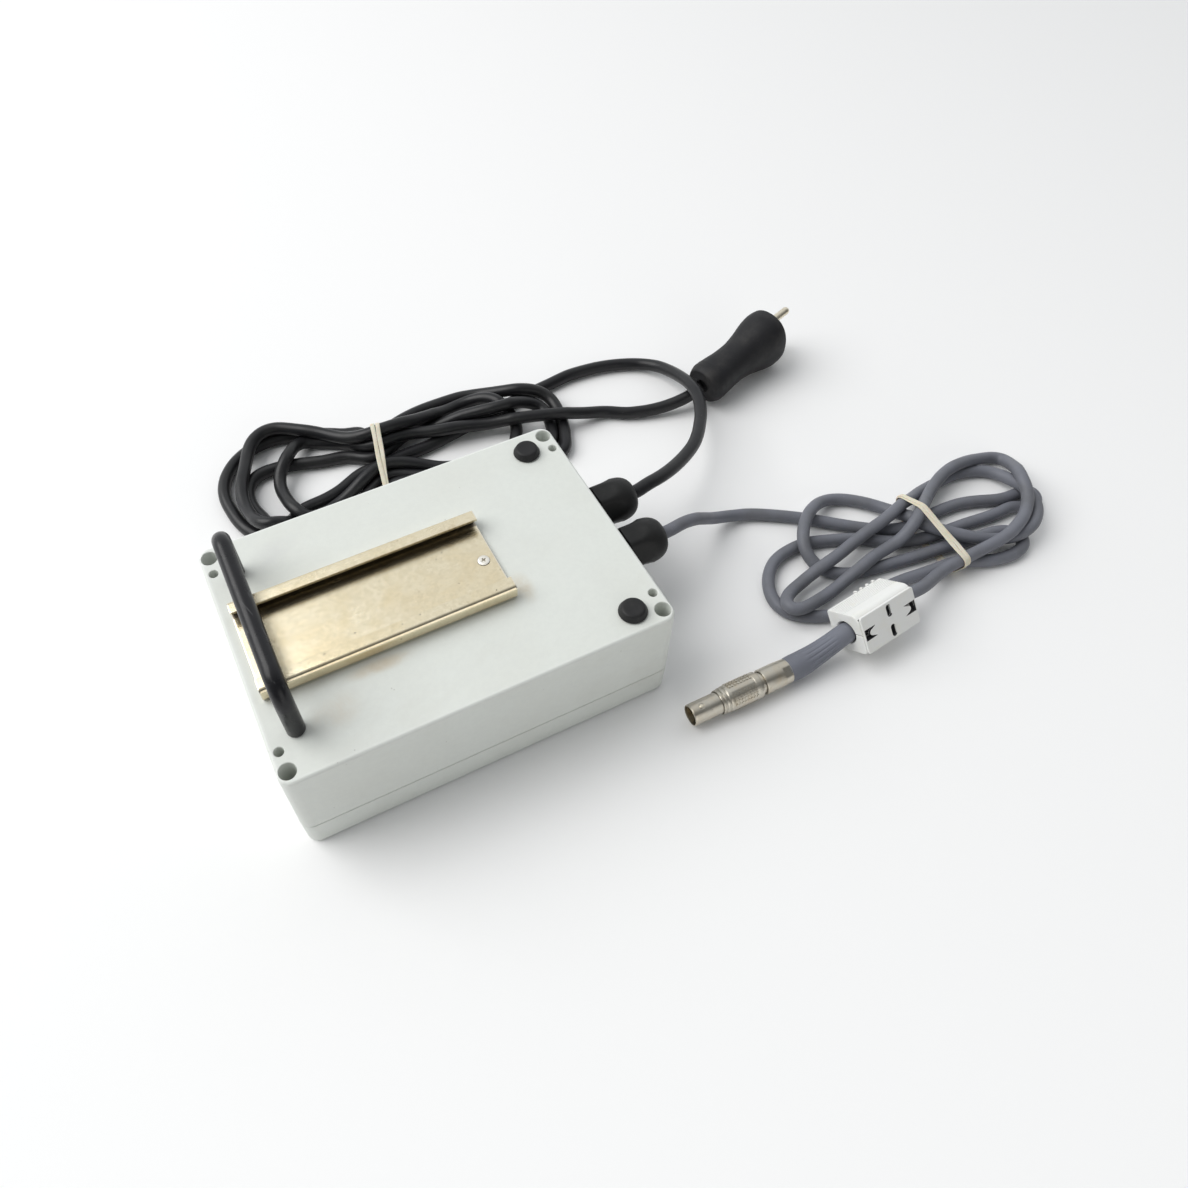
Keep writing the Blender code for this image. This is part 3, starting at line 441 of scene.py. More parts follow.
def raw(name, bm, matrix=None):
    bmesh.ops.remove_doubles(bm, verts=bm.verts, dist=1e-7)
    bmesh.ops.recalc_face_normals(bm, faces=bm.faces)
    me = bpy.data.meshes.new(name)
    bm.to_mesh(me)
    bm.free()
    if matrix is not None:
        me.transform(matrix)
    ob = bpy.data.objects.new(name, me)
    COL.objects.link(ob)
    return ob


def loft(bm, rings, closed=False, caps=True):
    vs = [[bm.verts.new(Vector(p) * MM) for p in ring] for ring in rings]
    n = len(vs[0])
    for a, b in list(zip(vs, vs[1:])) + ([(vs[-1], vs[0])] if closed else []):
        for i in range(n):
            j = (i + 1) % n
            bm.faces.new((a[i], a[j], b[j], b[i]))
    if caps and not closed:
        bm.faces.new(list(reversed(vs[0])))
        bm.faces.new(vs[-1])
    return bm


def solid(name, rings, closed=False, matrix=None):
    return raw(name, loft(bmesh.new(), rings, closed), matrix)


def rounded(hx, hy, r, steps=12):
    pts = []
    for cx, cy, a0 in ((hx - r, hy - r, 0), (-hx + r, hy - r, 90), (-hx + r, -hy + r, 180), (hx - r, -hy + r, 270)):
        for k in range(steps + 1):
            a = math.radians(a0 + 90 * k / steps)
            pts.append((cx + r * math.cos(a), cy + r * math.sin(a)))
    return pts


def fillet_rings(outline, prof):
    """outline(inset) gives the plan; prof lists (z, inset)."""
    return [[(x, y, z) for x, y in outline(i)] for z, i in prof]


def revolve(profile, n=48, axis="Z", origin=(0, 0, 0), ring=False, radius=None, bm=None):
    """radius(t, r, angle) may bend the plain radius."""
    bm = bm or bmesh.new()
    o = Vector(origin)
    rings = []
    for t, r in profile:
        pts = []
        for k in range(n):
            a = 2 * math.pi * k / n
            q = radius(t, r, a) if radius else r
            c, s = q * math.cos(a), q * math.sin(a)
            pts.append(o + Vector({"Z": (c, s, t), "X": (t, c, s)}[axis]))
        rings.append(pts)
    return loft(bm, rings, closed=ring)


def lathe(name, profile, n=48, axis="Z", origin=(0, 0, 0), ring=False, radius=None, matrix=None):
    return raw(name, revolve(profile, n, axis, origin, ring, radius), matrix)


def arc(c, r, a0, a1, n):
    """Points (u, v) on an arc round c."""
    return [(c[0] + r * math.cos(math.radians(a0 + (a1 - a0) * k / n)),
             c[1] + r * math.sin(math.radians(a0 + (a1 - a0) * k / n))) for k in range(n + 1)]


def prism(name, outline, z0, z1, matrix=None):
    return solid(name, [[(x, y, z) for x, y in outline] for z in (z0, z1)], matrix=matrix)


def box(name, lo, hi, matrix=None):
    return prism(name, [(lo[0], lo[1]), (hi[0], lo[1]), (hi[0], hi[1]), (lo[0], hi[1])], lo[2], hi[2], matrix)


def carve(ob, tools, op="DIFFERENCE"):
    """Exact boolean with every tool in turn; the tools are used up."""
    for t in tools:
        m = ob.modifiers.new("b", "BOOLEAN")
        m.operation, m.object, m.solver = op, t, "EXACT"
    dg = bpy.context.evaluated_depsgraph_get()
    me = bpy.data.meshes.new_from_object(ob.evaluated_get(dg))
    ob.modifiers.clear()
    old = ob.data
    ob.data = me
    me.name = ob.name
    bpy.data.meshes.remove(old)
    for t in tools:
        d = t.data
        bpy.data.objects.remove(t)
        bpy.data.meshes.remove(d)
    return ob


def bevel(ob, width, segments=2, angle=30.0):
    m = ob.modifiers.new("edges", "BEVEL")
    m.width, m.segments, m.limit_method = width * MM, segments, "ANGLE"
    m.angle_limit = math.radians(angle)
    m.miter_outer = "MITER_ARC"
    dg = bpy.context.evaluated_depsgraph_get()
    me = bpy.data.meshes.new_from_object(ob.evaluated_get(dg))
    ob.modifiers.clear()
    ob.data = me
    me.name = ob.name
    return ob


def wear(ob, rule):
    """A vertex value 0..1 where edges are rubbed, read by the material."""
    me = ob.data
    a = me.attributes.new("wear", "FLOAT", "POINT")
    a.data.foreach_set("value", [float(rule(v.co / MM)) for v in me.vertices])
    return ob


def piece(ob, mat, body, nodes, angle=38.0):
    ob.data.materials.clear()
    ob.data.materials.append(mat)
    if ob.type == "MESH":
        finish_mesh(ob, angle)
    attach(ob, body)
    if nodes:
        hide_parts(*nodes)
    return ob


def cross_tool(x, y, z, depth, arm, turn=0.0, up=1):
    w = arm * 0.26
    pts = [(arm, -w), (arm, w), (w, w), (w, arm), (-w, arm), (-w, w), (-arm, w), (-arm, -w),
           (-w, -w), (-w, -arm), (w, -arm), (w, -w)]
    c, s = math.cos(turn), math.sin(turn)
    z0, z1 = (z - depth, z + 1) if up > 0 else (z - 1, z + depth)
    k0, k1 = (0.55, 1.0) if up > 0 else (1.0, 0.55)
    return solid("t", [[(x + k * (c * a - s * b), y + k * (s * a + c * b), zz) for a, b in pts]
                       for zz, k in ((z0, k0), (z1, k1))])


def curve_through(points, step):
    """Centripetal Catmull-Rom through the points, resampled about step apart."""
    P = np.array(points, float)
    n = len(P)
    fine = []
    for i in range(n - 1):
        p1, p2 = P[i], P[i + 1]
        p0 = P[i - 1] if i else 2 * p1 - p2
        p3 = P[i + 2] if i + 2 < n else 2 * p2 - p1

        def gap(a, b):
            return max(np.linalg.norm(b - a) ** 0.5, 1e-3)
        t1 = gap(p0, p1)
        t2 = t1 + gap(p1, p2)
        t3 = t2 + gap(p2, p3)
        for k in range(24):
            t = t1 + (t2 - t1) * k / 24
            a1 = p0 * ((t1 - t) / t1) + p1 * (t / t1)
            a2 = p1 * ((t2 - t) / (t2 - t1)) + p2 * ((t - t1) / (t2 - t1))
            a3 = p2 * ((t3 - t) / (t3 - t2)) + p3 * ((t - t2) / (t3 - t2))
            b1 = a1 * ((t2 - t) / t2) + a2 * (t / t2)
            b2 = a2 * ((t3 - t) / (t3 - t1)) + a3 * ((t - t1) / (t3 - t1))
            fine.append(b1 * ((t2 - t) / (t2 - t1)) + b2 * ((t - t1) / (t2 - t1)))
    fine.append(P[-1])
    fine = np.array(fine)
    s = np.r_[0, np.cumsum(np.linalg.norm(np.diff(fine, axis=0), axis=1))]
    m = max(2, int(round(s[-1] / step)))
    q = np.linspace(0, s[-1], m + 1)
    return np.stack([np.interp(q, s, fine[:, k]) for k in range(3)], 1)


# =============================================================================
# cords: route, settling, bands
# =============================================================================
# Control points in millimetres, from the glands onwards.
DATA_ROUTE = [
    (117.6, -6.3, 36), (124, -6.0, 36), (133, -3.9, 34.2), (143, -0.8, 28.5), (151, 2.0, 21.5),
    (159, 4.8, 14.3), (167, 7.0, 8.4), (176, 7.2, 4.6), (185, 4.6, 3.6), (208, -9.6, 3.3), (216.9, -17.0, 3.3),
    (225.3, -24, 3.3), (233.7, -30.5, 3.3), (242.4, -36.5, 3.3), (252.5, -40.6, 3.3), (264.7, -40.4, 3.3),
    (277, -39.9, 3.3), (289.1, -40.3, 3.3), (297.8, -42.3, 3.3), (306, -45.1, 3.3), (313.5, -48.6, 3.3),
    (321.4, -49.3, 3.3), (329.2, -48.5, 3.3), (333.8, -51.5, 3.3), (331.6, -56.8, 3.3),
    (325.2, -61.6, 3.3), (320.2, -58.7, 3.3), (318, -54, 3.3), (309.5, -55.8, 3.3), (300.7, -55.1, 3.3),
    (291.1, -54, 3.3), (281.7, -53, 3.3), (271.7, -52.7, 3.3), (258.9, -51.8, 3.3), (248, -48.7, 3.3),
    (236.6, -42.1, 3.3), (225.7, -34.8, 3.3), (218.3, -31.6, 3.3), (209.9, -28.8, 3.3),
    (201.8, -25.6, 3.3), (192.9, -25.7, 3.3), (184, -26.2, 3.3), (175.7, -29.8, 3.3), (169.4, -36.2, 3.3),
    (165.2, -43.4, 3.3), (164, -50.5, 3.3), (165.6, -57, 3.3), (170.6, -62.2, 3.3), (177.2, -65.8, 3.3),
    (183.9, -69.5, 3.3), (196, -70, 3.3), (212, -68.5, 3.3), (230, -68, 3.3), (246, -70, 3.3),
    (264.8, -72.5, 3.3), (277.1, -77.7, 3.3), (286.6, -79.9, 3.3), (294.2, -80.5, 3.3),
    (301.7, -78.9, 3.3), (305.6, -73.8, 3.3), (303.5, -68.2, 3.3), (295.4, -64.8, 3.3),
    (282.9, -63.6, 3.3), (270.4, -62.1, 3.3), (255.1, -60.3, 3.3), (240.4, -58.1, 3.3),
    (225.9, -55.7, 3.3), (211.6, -53.3, 3.3), (202.2, -48.8, 3.3), (197.5, -42.6, 3.7),
    (194.9, -36.1, 5.8), (195, -29.3, 8.4), (199, -22.7, 10.6), (206.3, -15.5, 10.5), (215.1, -10.3, 8.4),
    (226.1, -6.2, 4.6), (234.5, -8.1, 3.5), (241.2, -12.8, 3.3), (246.5, -18.9, 3.3), (251.9, -25.7, 3.8),
    (255.3, -33.9, 6.6), (256.9, -45, 9.5), (264.1, -54.2, 10.1), (271.7, -61.1, 10.1), (280.9, -67, 8.7),
    (291.9, -70.3, 6.8), (297.9, -73.7, 7.7), (304.9, -74.4, 9.6), (312.8, -71.5, 10), (320, -66.1, 9.8),
    (324.2, -59.1, 9.9), (324, -52.4, 9.9), (325.1, -43.5, 7.5), (324.3, -33.7, 4.5), (319.4, -27.2, 3.4),
    (310.9, -24.2, 3.3), (300.9, -22.3, 3.3), (289.3, -23.7, 3.3), (278.3, -24.1, 3.5),
    (259.1, -31.5, 11.4), (247, -35.1, 12.4), (237, -36.3, 10.7), (225.8, -37.8, 9.2), (213.5, -40.8, 8.8),
    (200.6, -44.4, 9.8), (188.9, -45.5, 7.4), (179.7, -47.9, 6), (170.8, -51.1, 8), (164.5, -55.3, 9.8),
    (164.8, -61.8, 10.5), (172.3, -62.8, 9.7), (182.5, -59.8, 6.5), (192.5, -58.2, 4.6), (201.8, -56, 7.1),
    (213.1, -54.7, 9.7), (228.4, -50.4, 7.9), (240.1, -49.5, 9.6), (248.9, -47.8, 14), (258.3, -42.2, 16),
    (272.6, -33.1, 9.4), (283.5, -26.7, 8.7), (293.6, -22.7, 9.9), (303.9, -21.1, 9.6),
    (313.9, -21.7, 8.1), (326.9, -21, 4.2), (335.5, -24.3, 3.9), (331.9, -35.1, 8.8), (323.1, -47.1, 15.6),
    (321.3, -54.4, 15), (316.9, -60.5, 13.1), (308.9, -66.7, 13.2), (298.2, -72.4, 14), (289, -73.5, 12.4),
    (280.3, -73.6, 10.5), (270.1, -74.1, 9.9), (260.4, -74.5, 9.3), (251.2, -74.3, 8.7),
    (239.1, -77.6, 11.4), (229, -80.8, 14.5), (213.6, -81.3, 14.5), (196, -83.5, 14.5), (178.6, -85.6, 14.4)]
MAINS_ROUTE = [
    (117.6, 23.2, 36), (123, 24, 36), (130, 25.8, 35.6), (138.5, 28.2, 34), (147, 31.6, 32), (155, 35.6, 30),
    (163.5, 40.6, 28), (171.5, 46.3, 26.2), (178.5, 53, 24.6), (184, 59.5, 23.3), (188.8, 65.8, 22.2),
    (192.8, 72.3, 21.4), (196.6, 80, 20.6), (199, 88, 19.7), (200.6, 97, 17.4), (201.4, 107.5, 13.5),
    (200.9, 118, 9.7), (198.4, 128, 6.4), (192, 136, 4.3), (183.5, 141, 3.8), (170, 145.5, 3.8),
    (158, 147.4, 3.8), (146, 148, 3.8), (136.1, 146.6, 3.7), (125.2, 145.5, 3.6), (112.2, 143.9, 3.6),
    (97.7, 141, 3.6), (83.2, 138.7, 3.6), (68.9, 135.8, 3.6), (55, 133.1, 3.6), (41.8, 131.6, 3.6),
    (29, 131.4, 3.6), (17, 128, 3.6), (4.9, 129.8, 3.6), (-7, 123.6, 3.6), (-22, 119.7, 3.6),
    (-35.8, 118.6, 3.6), (-48.3, 103.7, 16.7), (-56.5, 106.6, 17.4), (-60.5, 121.7, 11.6),
    (-61.5, 134, 10.1), (-59.1, 144.8, 10.4), (-53.8, 157.5, 8.8), (-45.2, 174.5, 5.5),
    (-38.7, 178.6, 5.4), (-30.6, 180, 6.5), (-17.6, 171.3, 10.4), (-5.9, 163, 12.5), (0.8, 155.9, 12.9),
    (11, 146.1, 14.3), (17, 144, 13.7), (38.7, 144, 11.1), (53.1, 147.8, 9.9), (67.8, 152.3, 7.8),
    (77.5, 155.2, 6.7), (87, 151.2, 8.7), (94.3, 144.8, 10.3), (97.7, 137.4, 10), (99.9, 130.5, 6.9),
    (100.2, 122.4, 3.8), (93.3, 113.4, 3.6), (88, 103, 3.6), (70, 99, 3.6), (52, 103, 3.6), (35, 112, 3.6),
    (17, 120.5, 3.6), (0, 111, 3.6), (-20, 102.5, 3.6), (-41, 101, 3.6), (-57, 108, 3.6),
    (-67.2, 123.5, 3.6), (-68.7, 134.4, 3.6), (-70.1, 144.5, 3.6), (-68.4, 154.5, 3.6),
    (-63.8, 163.6, 3.6), (-57.1, 170.7, 3.6), (-48.5, 175.5, 3.6), (-39.3, 178, 3.6), (-29.5, 177.9, 3.6),
    (-18.3, 174.7, 3.6), (-6.7, 168.4, 3.6), (4.4, 161.6, 3.6), (17.5, 161.2, 3.6), (17, 151, 3.6),
    (39.8, 158.6, 3.6), (53.9, 161.2, 3.6), (67, 161.3, 3.6), (79.6, 160.3, 3.6), (91.7, 157.3, 4.3),
    (101.9, 150, 8.1), (112.2, 143.4, 10.7), (122.1, 139.9, 9), (127.6, 133.8, 5.7), (127.3, 123.9, 4.1),
    (124, 112.7, 3.6), (119.3, 100.8, 3.6), (121, 97, 3.6), (108, 90.8, 3.6), (88, 91.5, 4.7),
    (66, 97, 10.3), (45, 102, 9.3), (30, 108, 6.5), (17, 113, 3.9), (0, 103, 3.6), (-17, 95.5, 3.6),
    (-36, 94, 4.9), (-50, 99, 9.6), (-55.2, 121.5, 6.8), (-58.1, 133.2, 3.8), (-57.6, 143.3, 3.6),
    (-53.7, 151.8, 3.6), (-46.2, 155.6, 3.6), (-36.1, 154.9, 3.6), (-24.2, 152.9, 3.6),
    (-10.7, 147.7, 3.6), (3.8, 145.9, 3.6), (17, 136, 3.6), (38, 146.5, 3.6), (54.1, 146.1, 3.8),
    (68.7, 141.4, 8), (82.9, 135.8, 12.7), (96.7, 131.9, 14.8), (110.9, 133.9, 9.3), (119.8, 130.7, 5.1),
    (120.4, 120.4, 3.6), (119.2, 108.6, 3.6), (117, 108, 3.6), (110, 99.5, 3.9), (94, 97, 7.3),
    (74, 103, 9.8), (52, 111, 3.8), (35, 119, 6.2), (17, 124.5, 9.4), (4.7, 118.7, 9.4),
    (-10.9, 114.3, 8.8), (-20.5, 112.1, 9.2), (-30.5, 106.6, 10.4), (-37.9, 112.7, 11.4),
    (-39.1, 125.9, 8.9), (-39.8, 139, 7), (-36.3, 147.9, 8.7), (-29.4, 153.3, 10.7), (-18.8, 167.1, 5.1),
    (-6, 164.9, 5.6), (1.9, 160, 6.7), (17, 140, 10.3), (36.7, 141.3, 11.9), (55.8, 134.1, 10.8),
    (74.1, 131.4, 9.2), (90.6, 126.4, 9.3), (104.5, 120.8, 11.2), (117.5, 116.7, 11.3),
    (128.9, 113.1, 10.2), (143.2, 112, 5), (156.5, 108.9, 3.7), (159, 105, 3.6), (168, 101.5, 3.8),
    (176, 98.8, 4.2), (184, 96.6, 5.3), (192, 95, 7), (200, 94.2, 9.2), (208, 94.9, 11.9)]

MAINS_D, DATA_D = 7.2, 6.6


def near_pairs(X, reach, skip):
    out = []
    for a in range(0, len(X), 200):
        d = np.linalg.norm(X[a:a + 200, None] - X[None], axis=2)
        i, j = np.nonzero(d < reach)
        i = i + a
        k = (j - i) >= skip
        out.append(np.stack([i[k], j[k]], 1))
    return np.concatenate(out)


def settle(X, d, held, floor, iters=500, pull=0.05, sink=0.05, rounds=6):
    """Let the strands sink on the surface and on each other until none lies in another; they keep
    close to the plan they were given.  floor(X) is the lowest height of the centre line."""
    X = X.copy()
    T = X.copy()
    n = len(X)
    h = np.linalg.norm(np.diff(X, axis=0), axis=1).mean()
    skip = int(np.ceil(2.2 * d / h))
    w = np.where(held, 0.0, 1.0)[:, None]
    low = floor(X)
    for it in range(iters):
        late = it / iters
        if it % 8 == 0:
            pr = near_pairs(X, d * 1.35, skip)
            i, j = pr[:, 0], pr[:, 1]
            low = floor(X)
        X[:, 2] -= sink * min(1, (1 - late) * 3) * w[:, 0]
        X[:, :2] += pull * w * (T - X)[:, :2]
        for _ in range(rounds):
            L = np.zeros_like(X)
            L[1:-1] = (X[:-2] + X[2:]) / 2 - X[1:-1]
            B = np.zeros_like(X)
            B[2:-2] = L[2:-2] - (L[1:-3] + L[3:-1]) / 2
            X += B * w * np.array([0.12, 0.12, 0.25])
        for _ in range(2):
            v = X[j] - X[i]
            ln = np.maximum(np.linalg.norm(v, axis=1), 1e-6)
            o = np.clip(d - ln, 0, None)
            v = v / ln[:, None]
            s = np.where(np.abs(v[:, 2]) < 0.12, 0, np.sign(v[:, 2]))
            v[:, 2] += 0.35 * s
            v /= np.linalg.norm(v, axis=1)[:, None]
            wi, wj = w[i, 0], w[j, 0]
            sw = np.maximum(wi + wj, 1e-9)
            push = v * (o * 0.5)[:, None]
            A = np.zeros_like(X)
            C = np.zeros(n)
            np.add.at(A, i, -push * (wi / sw)[:, None] * 2)
            np.add.at(A, j, push * (wj / sw)[:, None] * 2)
            np.add.at(C, i, (o > 0) * 1.0)
            np.add.at(C, j, (o > 0) * 1.0)
            X += A / np.maximum(C * 0.6, 1)[:, None] * w
            X[:, 2] = np.where(held, X[:, 2], np.maximum(X[:, 2], low))
    return X


class BandPlane:
    """The upright plane that a rubber band lies in, through two points of the surface."""

    def __init__(self, a, b, lo, hi):
        self.o = np.array(a, float)
        self.u = np.array(b, float) - self.o
        self.u /= np.linalg.norm(self.u)
        self.n = np.array([self.u[1], -self.u[0]])
        self.lo, self.hi = lo, hi

    def lift(self, X, r, height=1.25, reach=12.0):
        q = X[:, :2] - self.o
        along = q @ self.u
        inside = 1 / (1 + np.exp(-(along - self.lo) / 1.5)) / (1 + np.exp((along - self.hi) / 1.5))
        return r + height * np.exp(-((q @ self.n) / reach) ** 2) * inside

    def hull(self, X, r):
        """The line a stretched band takes round the strands: (along, z) points, anticlockwise."""
        q = X[:, :2] - self.o
        side, along = q @ self.n, q @ self.u
        pts = []
        for k in range(len(X) - 1):
            if side[k] * side[k + 1] <= 0 and side[k] != side[k + 1]:
                f = side[k] / (side[k] - side[k + 1])
                c = (along[k] + f * (along[k + 1] - along[k]), X[k, 2] + f * (X[k + 1, 2] - X[k, 2]))
                if not self.lo - 6 < c[0] < self.hi + 6:
                    continue
                t = X[k + 1] - X[k]
                t = t / np.linalg.norm(t)
                cos_a = max(abs(t[:2] @ self.n), 0.6)
                for m in range(48):
                    a = 2 * math.pi * m / 48
                    pts.append((c[0] + r / cos_a * math.cos(a), c[1] + r * math.sin(a)))
        pts = sorted(set(pts))

        def half(ps):
            out = []
            for p in ps:
                while len(out) > 1 and ((out[-1][0] - out[-2][0]) * (p[1] - out[-2][1])
                                        - (out[-1][1] - out[-2][1]) * (p[0] - out[-2][0])) <= 0:
                    out.pop()
                out.append(p)
            return out[:-1]
        return half(pts) + half(pts[::-1])


MAINS_BAND = BandPlane((13.5, 112.0), (23.0, 151.0), -16, 62)
DATA_BAND = BandPlane((261.0, -74.5), (256.5, -31.0), -14, 62)


def held_ends(X, route, first, last):
    """Hold the points before the first-th and after the last-th control point."""
    idx, st = [], 0
    for c in route:
        dd = np.linalg.norm(X[st:] - np.array(c, float), axis=1)
        m = int(dd[:60].argmin())
        idx.append(st + m)
        st += m
    held = np.zeros(len(X), bool)
    held[:idx[first - 1] + 1] = True
    held[idx[-last]:] = True
    return held


def make_cord(name, route, d, first, last, plane, mat, nodes):
    X0 = curve_through(route, d / 2)
    held = held_ends(X0, route, first, last)
    X = settle(X0, d, held, lambda q: plane.lift(q, d / 2))
    fine = curve_through(X, 1.1)
    cu = bpy.data.curves.new(name, "CURVE")
    cu.dimensions = "3D"
    cu.bevel_depth = d / 2 * MM
    cu.bevel_resolution = 6
    cu.use_fill_caps = True
    cu.twist_mode = "MINIMUM"
    sp = cu.splines.new("POLY")
    sp.points.add(len(fine) - 1)
    sp.points.foreach_set("co", np.c_[fine * MM, np.ones(len(fine))].ravel())
    sp.use_smooth = True
    ob = bpy.data.objects.new(name, cu)
    COL.objects.link(ob)
    cu.materials.append(mat)
    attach(ob, "root")
    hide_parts(*nodes)
    return ob, X, float(np.linalg.norm(np.diff(fine, axis=0), axis=1).sum())


mains_cord, MAINS_X, mains_len = make_cord("mains_cord", MAINS_ROUTE, MAINS_D, 23, 6, MAINS_BAND, M_BLACK_CORD,
                                           ["mains_cord_lead", "mains_cord_hank", "mains_cord_plug_run"])
data_cord, DATA_X, data_len = make_cord("data_cord", DATA_ROUTE, DATA_D, 9, 4, DATA_BAND, M_GREY_CORD,
                                        ["data_cord_lead", "data_cord_hank", "data_cord_end"])
print("cord lengths", mains_len, data_len)


def rubber_band(name, plane, X, r, node, width=2.5, thick=0.62, apart=1.45, start=0.0, seed=0.0):
    """One closed rubber band wound twice: its two turns lie side by side where they are widest apart and
    one on the other where they cross."""
    hull = np.array(plane.hull(X, r))
    # close, resample evenly, and round the corners a little
    P = np.vstack([hull, hull[:1]])
    s = np.r_[0, np.cumsum(np.linalg.norm(np.diff(P, axis=0), axis=1))]
    m = 220
    q = (np.arange(m) / m + start) % 1.0 * s[-1]
    L = np.stack([np.interp(q, s, P[:, k]) for k in range(2)], 1)
    for _ in range(3):
        L = (np.roll(L, 1, 0) + 2 * L + np.roll(L, -1, 0)) / 4
    tan = np.roll(L, -1, 0) - np.roll(L, 1, 0)
    tan /= np.linalg.norm(tan, axis=1)[:, None]
    out = np.stack([tan[:, 1], -tan[:, 0]], 1)
    rings = []
    for k in range(2 * m):
        t = k / m
        i = k % m
        side = apart * math.sin(math.pi * t) + 0.12 * math.sin(9 * math.pi * t + seed)
        lift = 0.66 + 0.33 * math.cos(math.pi * t)
        lean = 0.16 * math.sin(3 * math.pi * t + seed)
        wd = width * (1 + 0.07 * math.sin(7 * math.pi * t + seed * 2)) / 2
        th = thick / 2
        ring = []
        sec = [(-1, -1, 0.62), (-1, 0.25, 1), (-0.8, 1, 1), (0.8, 1, 1), (1, 0.25, 1), (1, -0.62, 1), (0.8, -1, 1), (-0.8, -1, 1)]
        sec = [(-1, -0.3), (-0.93, 0.55), (-0.74, 0.95), (0.0, 1.0), (0.74, 0.95), (0.93, 0.55), (1, -0.3),
               (0.86, -0.85), (0.0, -1.0), (-0.86, -0.85)]
        for a, b in sec:
            w_, h_ = a * wd, b * th
            sd = side + w_
            up = lift + h_ + w_ * lean * 0.35
            p2 = L[i] + out[i] * up
            xy = plane.o + plane.u * p2[0] + plane.n * sd
            ring.append((xy[0], xy[1], p2[1]))
        rings.append(ring)
    ob = solid(name, rings, closed=True)
    return piece(ob, M_BAND, "root", [node], angle=60)


mains_band = rubber_band("mains_rubber_band", MAINS_BAND, MAINS_X, MAINS_D / 2, "mains_band", apart=1.5, start=0.08)
data_band = rubber_band("data_rubber_band", DATA_BAND, DATA_X, DATA_D / 2, "data_band", width=2.3, apart=1.1,
                        start=0.45, seed=1.3)

# =============================================================================
# enclosure
# =============================================================================
HX, HY, BOX_H, LID_H, WALL = 90.8, 65.5, 61.0, 17.5, 3.2
ZS = LID_H + 0.3
GLAND_Y, GLAND_Z = (23.2, -6.3), 36.0
HANDLE_X, HANDLE_OFF, HANDLE_Y = -76.8, 1.0, 43.8
RAIL_SCREWS = ((26.0, -0.4), (-79.4, -0.4))
FEET = ((73.1, -54.2), (73.1, 51.8))


def cavity():
    x1, y1, x0, y0 = HX - WALL, HY - WALL, 80.6, 44.0
    return [(x1, -y0), (x1, y0), (x0, y0), (x0, y1), (-x0, y1), (-x0, y0),
            (-x1, y0), (-x1, -y0), (-x0, -y0), (-x0, -y1), (x0, -y1), (x0, -y0)]


def plan(i):
    return rounded(HX - i, HY - i, 6.0 - 0.8 * i, 14)


prof = [(ZS, 0.34), (ZS + 0.12, 0.12), (ZS + 0.34, 0.0), (38.0, 0.24), (59.3, 0.46)]
prof += [(z, i) for i, z in [(1.96 - u, v) for u, v in arc((0, 59.5), 1.5, 0, 90, 8)]] + [(61.0, 2.9)]
base = solid("enclosure_base", fillet_rings(plan, prof))
tools = [prism("t", cavity(), ZS - 2, BOX_H - WALL)]
for sx in (1, -1):
    for sy in (1, -1):
        tools.append(lathe("t", [(BOX_H - 23, 2.9), (BOX_H - 22.2, 3.5), (60.3, 3.7), (60.75, 3.8), (60.95, 4.0), (61.0, 4.12),
                                 (63, 4.12)], 44, origin=(sx * 85.7, sy * 58.8, 0)))
        tools.append(lathe("t", [(ZS - 2, 2.1), (60.4, 2.1), (60.8, 2.18), (61.0, 2.42), (63, 2.42)], 32,
                           origin=(sx * 86.2, sy * 49.2, 0)))
        tools.append(lathe("t", [(ZS - 2, 3.3), (ZS + 11.2, 3.3)], 24, origin=(sx * 84.4, sy * 57.2, 0)))
for y in GLAND_Y:
    tools.append(lathe("t", [(HX - WALL - 3, 8.4), (HX + 3, 8.4)], 40, "X", (0, y, GLAND_Z)))
for s in (-1, 1):
    tools.append(lathe("t", [(BOX_H - 6, 2.4), (BOX_H + 2, 2.4)], 24, origin=(HANDLE_X, HANDLE_OFF + s * HANDLE_Y, 0)))
for x, y in RAIL_SCREWS:
    tools.append(lathe("t", [(BOX_H - 6, 1.8), (BOX_H + 2, 1.8)], 24, origin=(x, y, 0)))
carve(base, tools)
BOSSES = ((60.0, 41.0), (-60.0, 41.0), (60.0, -41.0), (-60.0, -41.0))
carve(base, [lathe("t", [(43.9, 3.6), (BOX_H - WALL / 2, 3.75)], 28, origin=(x, y, 0)) for x, y in BOSSES], "UNION")
carve(base, [lathe("t", [(41.6, 1.5), (52.6, 1.5)], 16, origin=(x, y, 0)) for x, y in BOSSES[:2]])


def box_wear(p):
    """1 on the rubbed outer rims of the box."""
    top = max(0.0, 1 - abs(p.z - 60.9) / 0.9) if max(abs(p.x) - 88.3, abs(p.y) - 63.0) > 0 else 0.0
    seam = max(0.0, 1 - abs(p.z - ZS) / 0.3)
    return min(1.0, top + 0.4 * seam)


wear(base, box_wear)
piece(base, M_CASE, "root", ["base_shell"], angle=32)

prof = [(v, 2.3 - u) for u, v in arc((0, 2.05), 2.05, -90, 0, 8)] + [(LID_H - 0.34, 0.0), (LID_H - 0.12, 0.12), (LID_H, 0.34)]
lid = solid("enclosure_lid", fillet_rings(plan, prof))
tools = [prism("t", cavity(), WALL, LID_H + 2)]
for sx in (1, -1):
    for sy in (1, -1):
        tools.append(lathe("t", [(-2, 2.4), (0, 2.4), (0.3, 2.1), (LID_H + 2, 2.1)], 32, origin=(sx * 86.2, sy * 49.2, 0)))
        tools.append(lathe("t", [(-2, 4.3), (0, 4.3), (0.3, 4.0), (10.2, 4.0), (10.2, 2.3), (LID_H + 2, 2.3)], 36,
                           origin=(sx * 84.4, sy * 57.2, 0)))
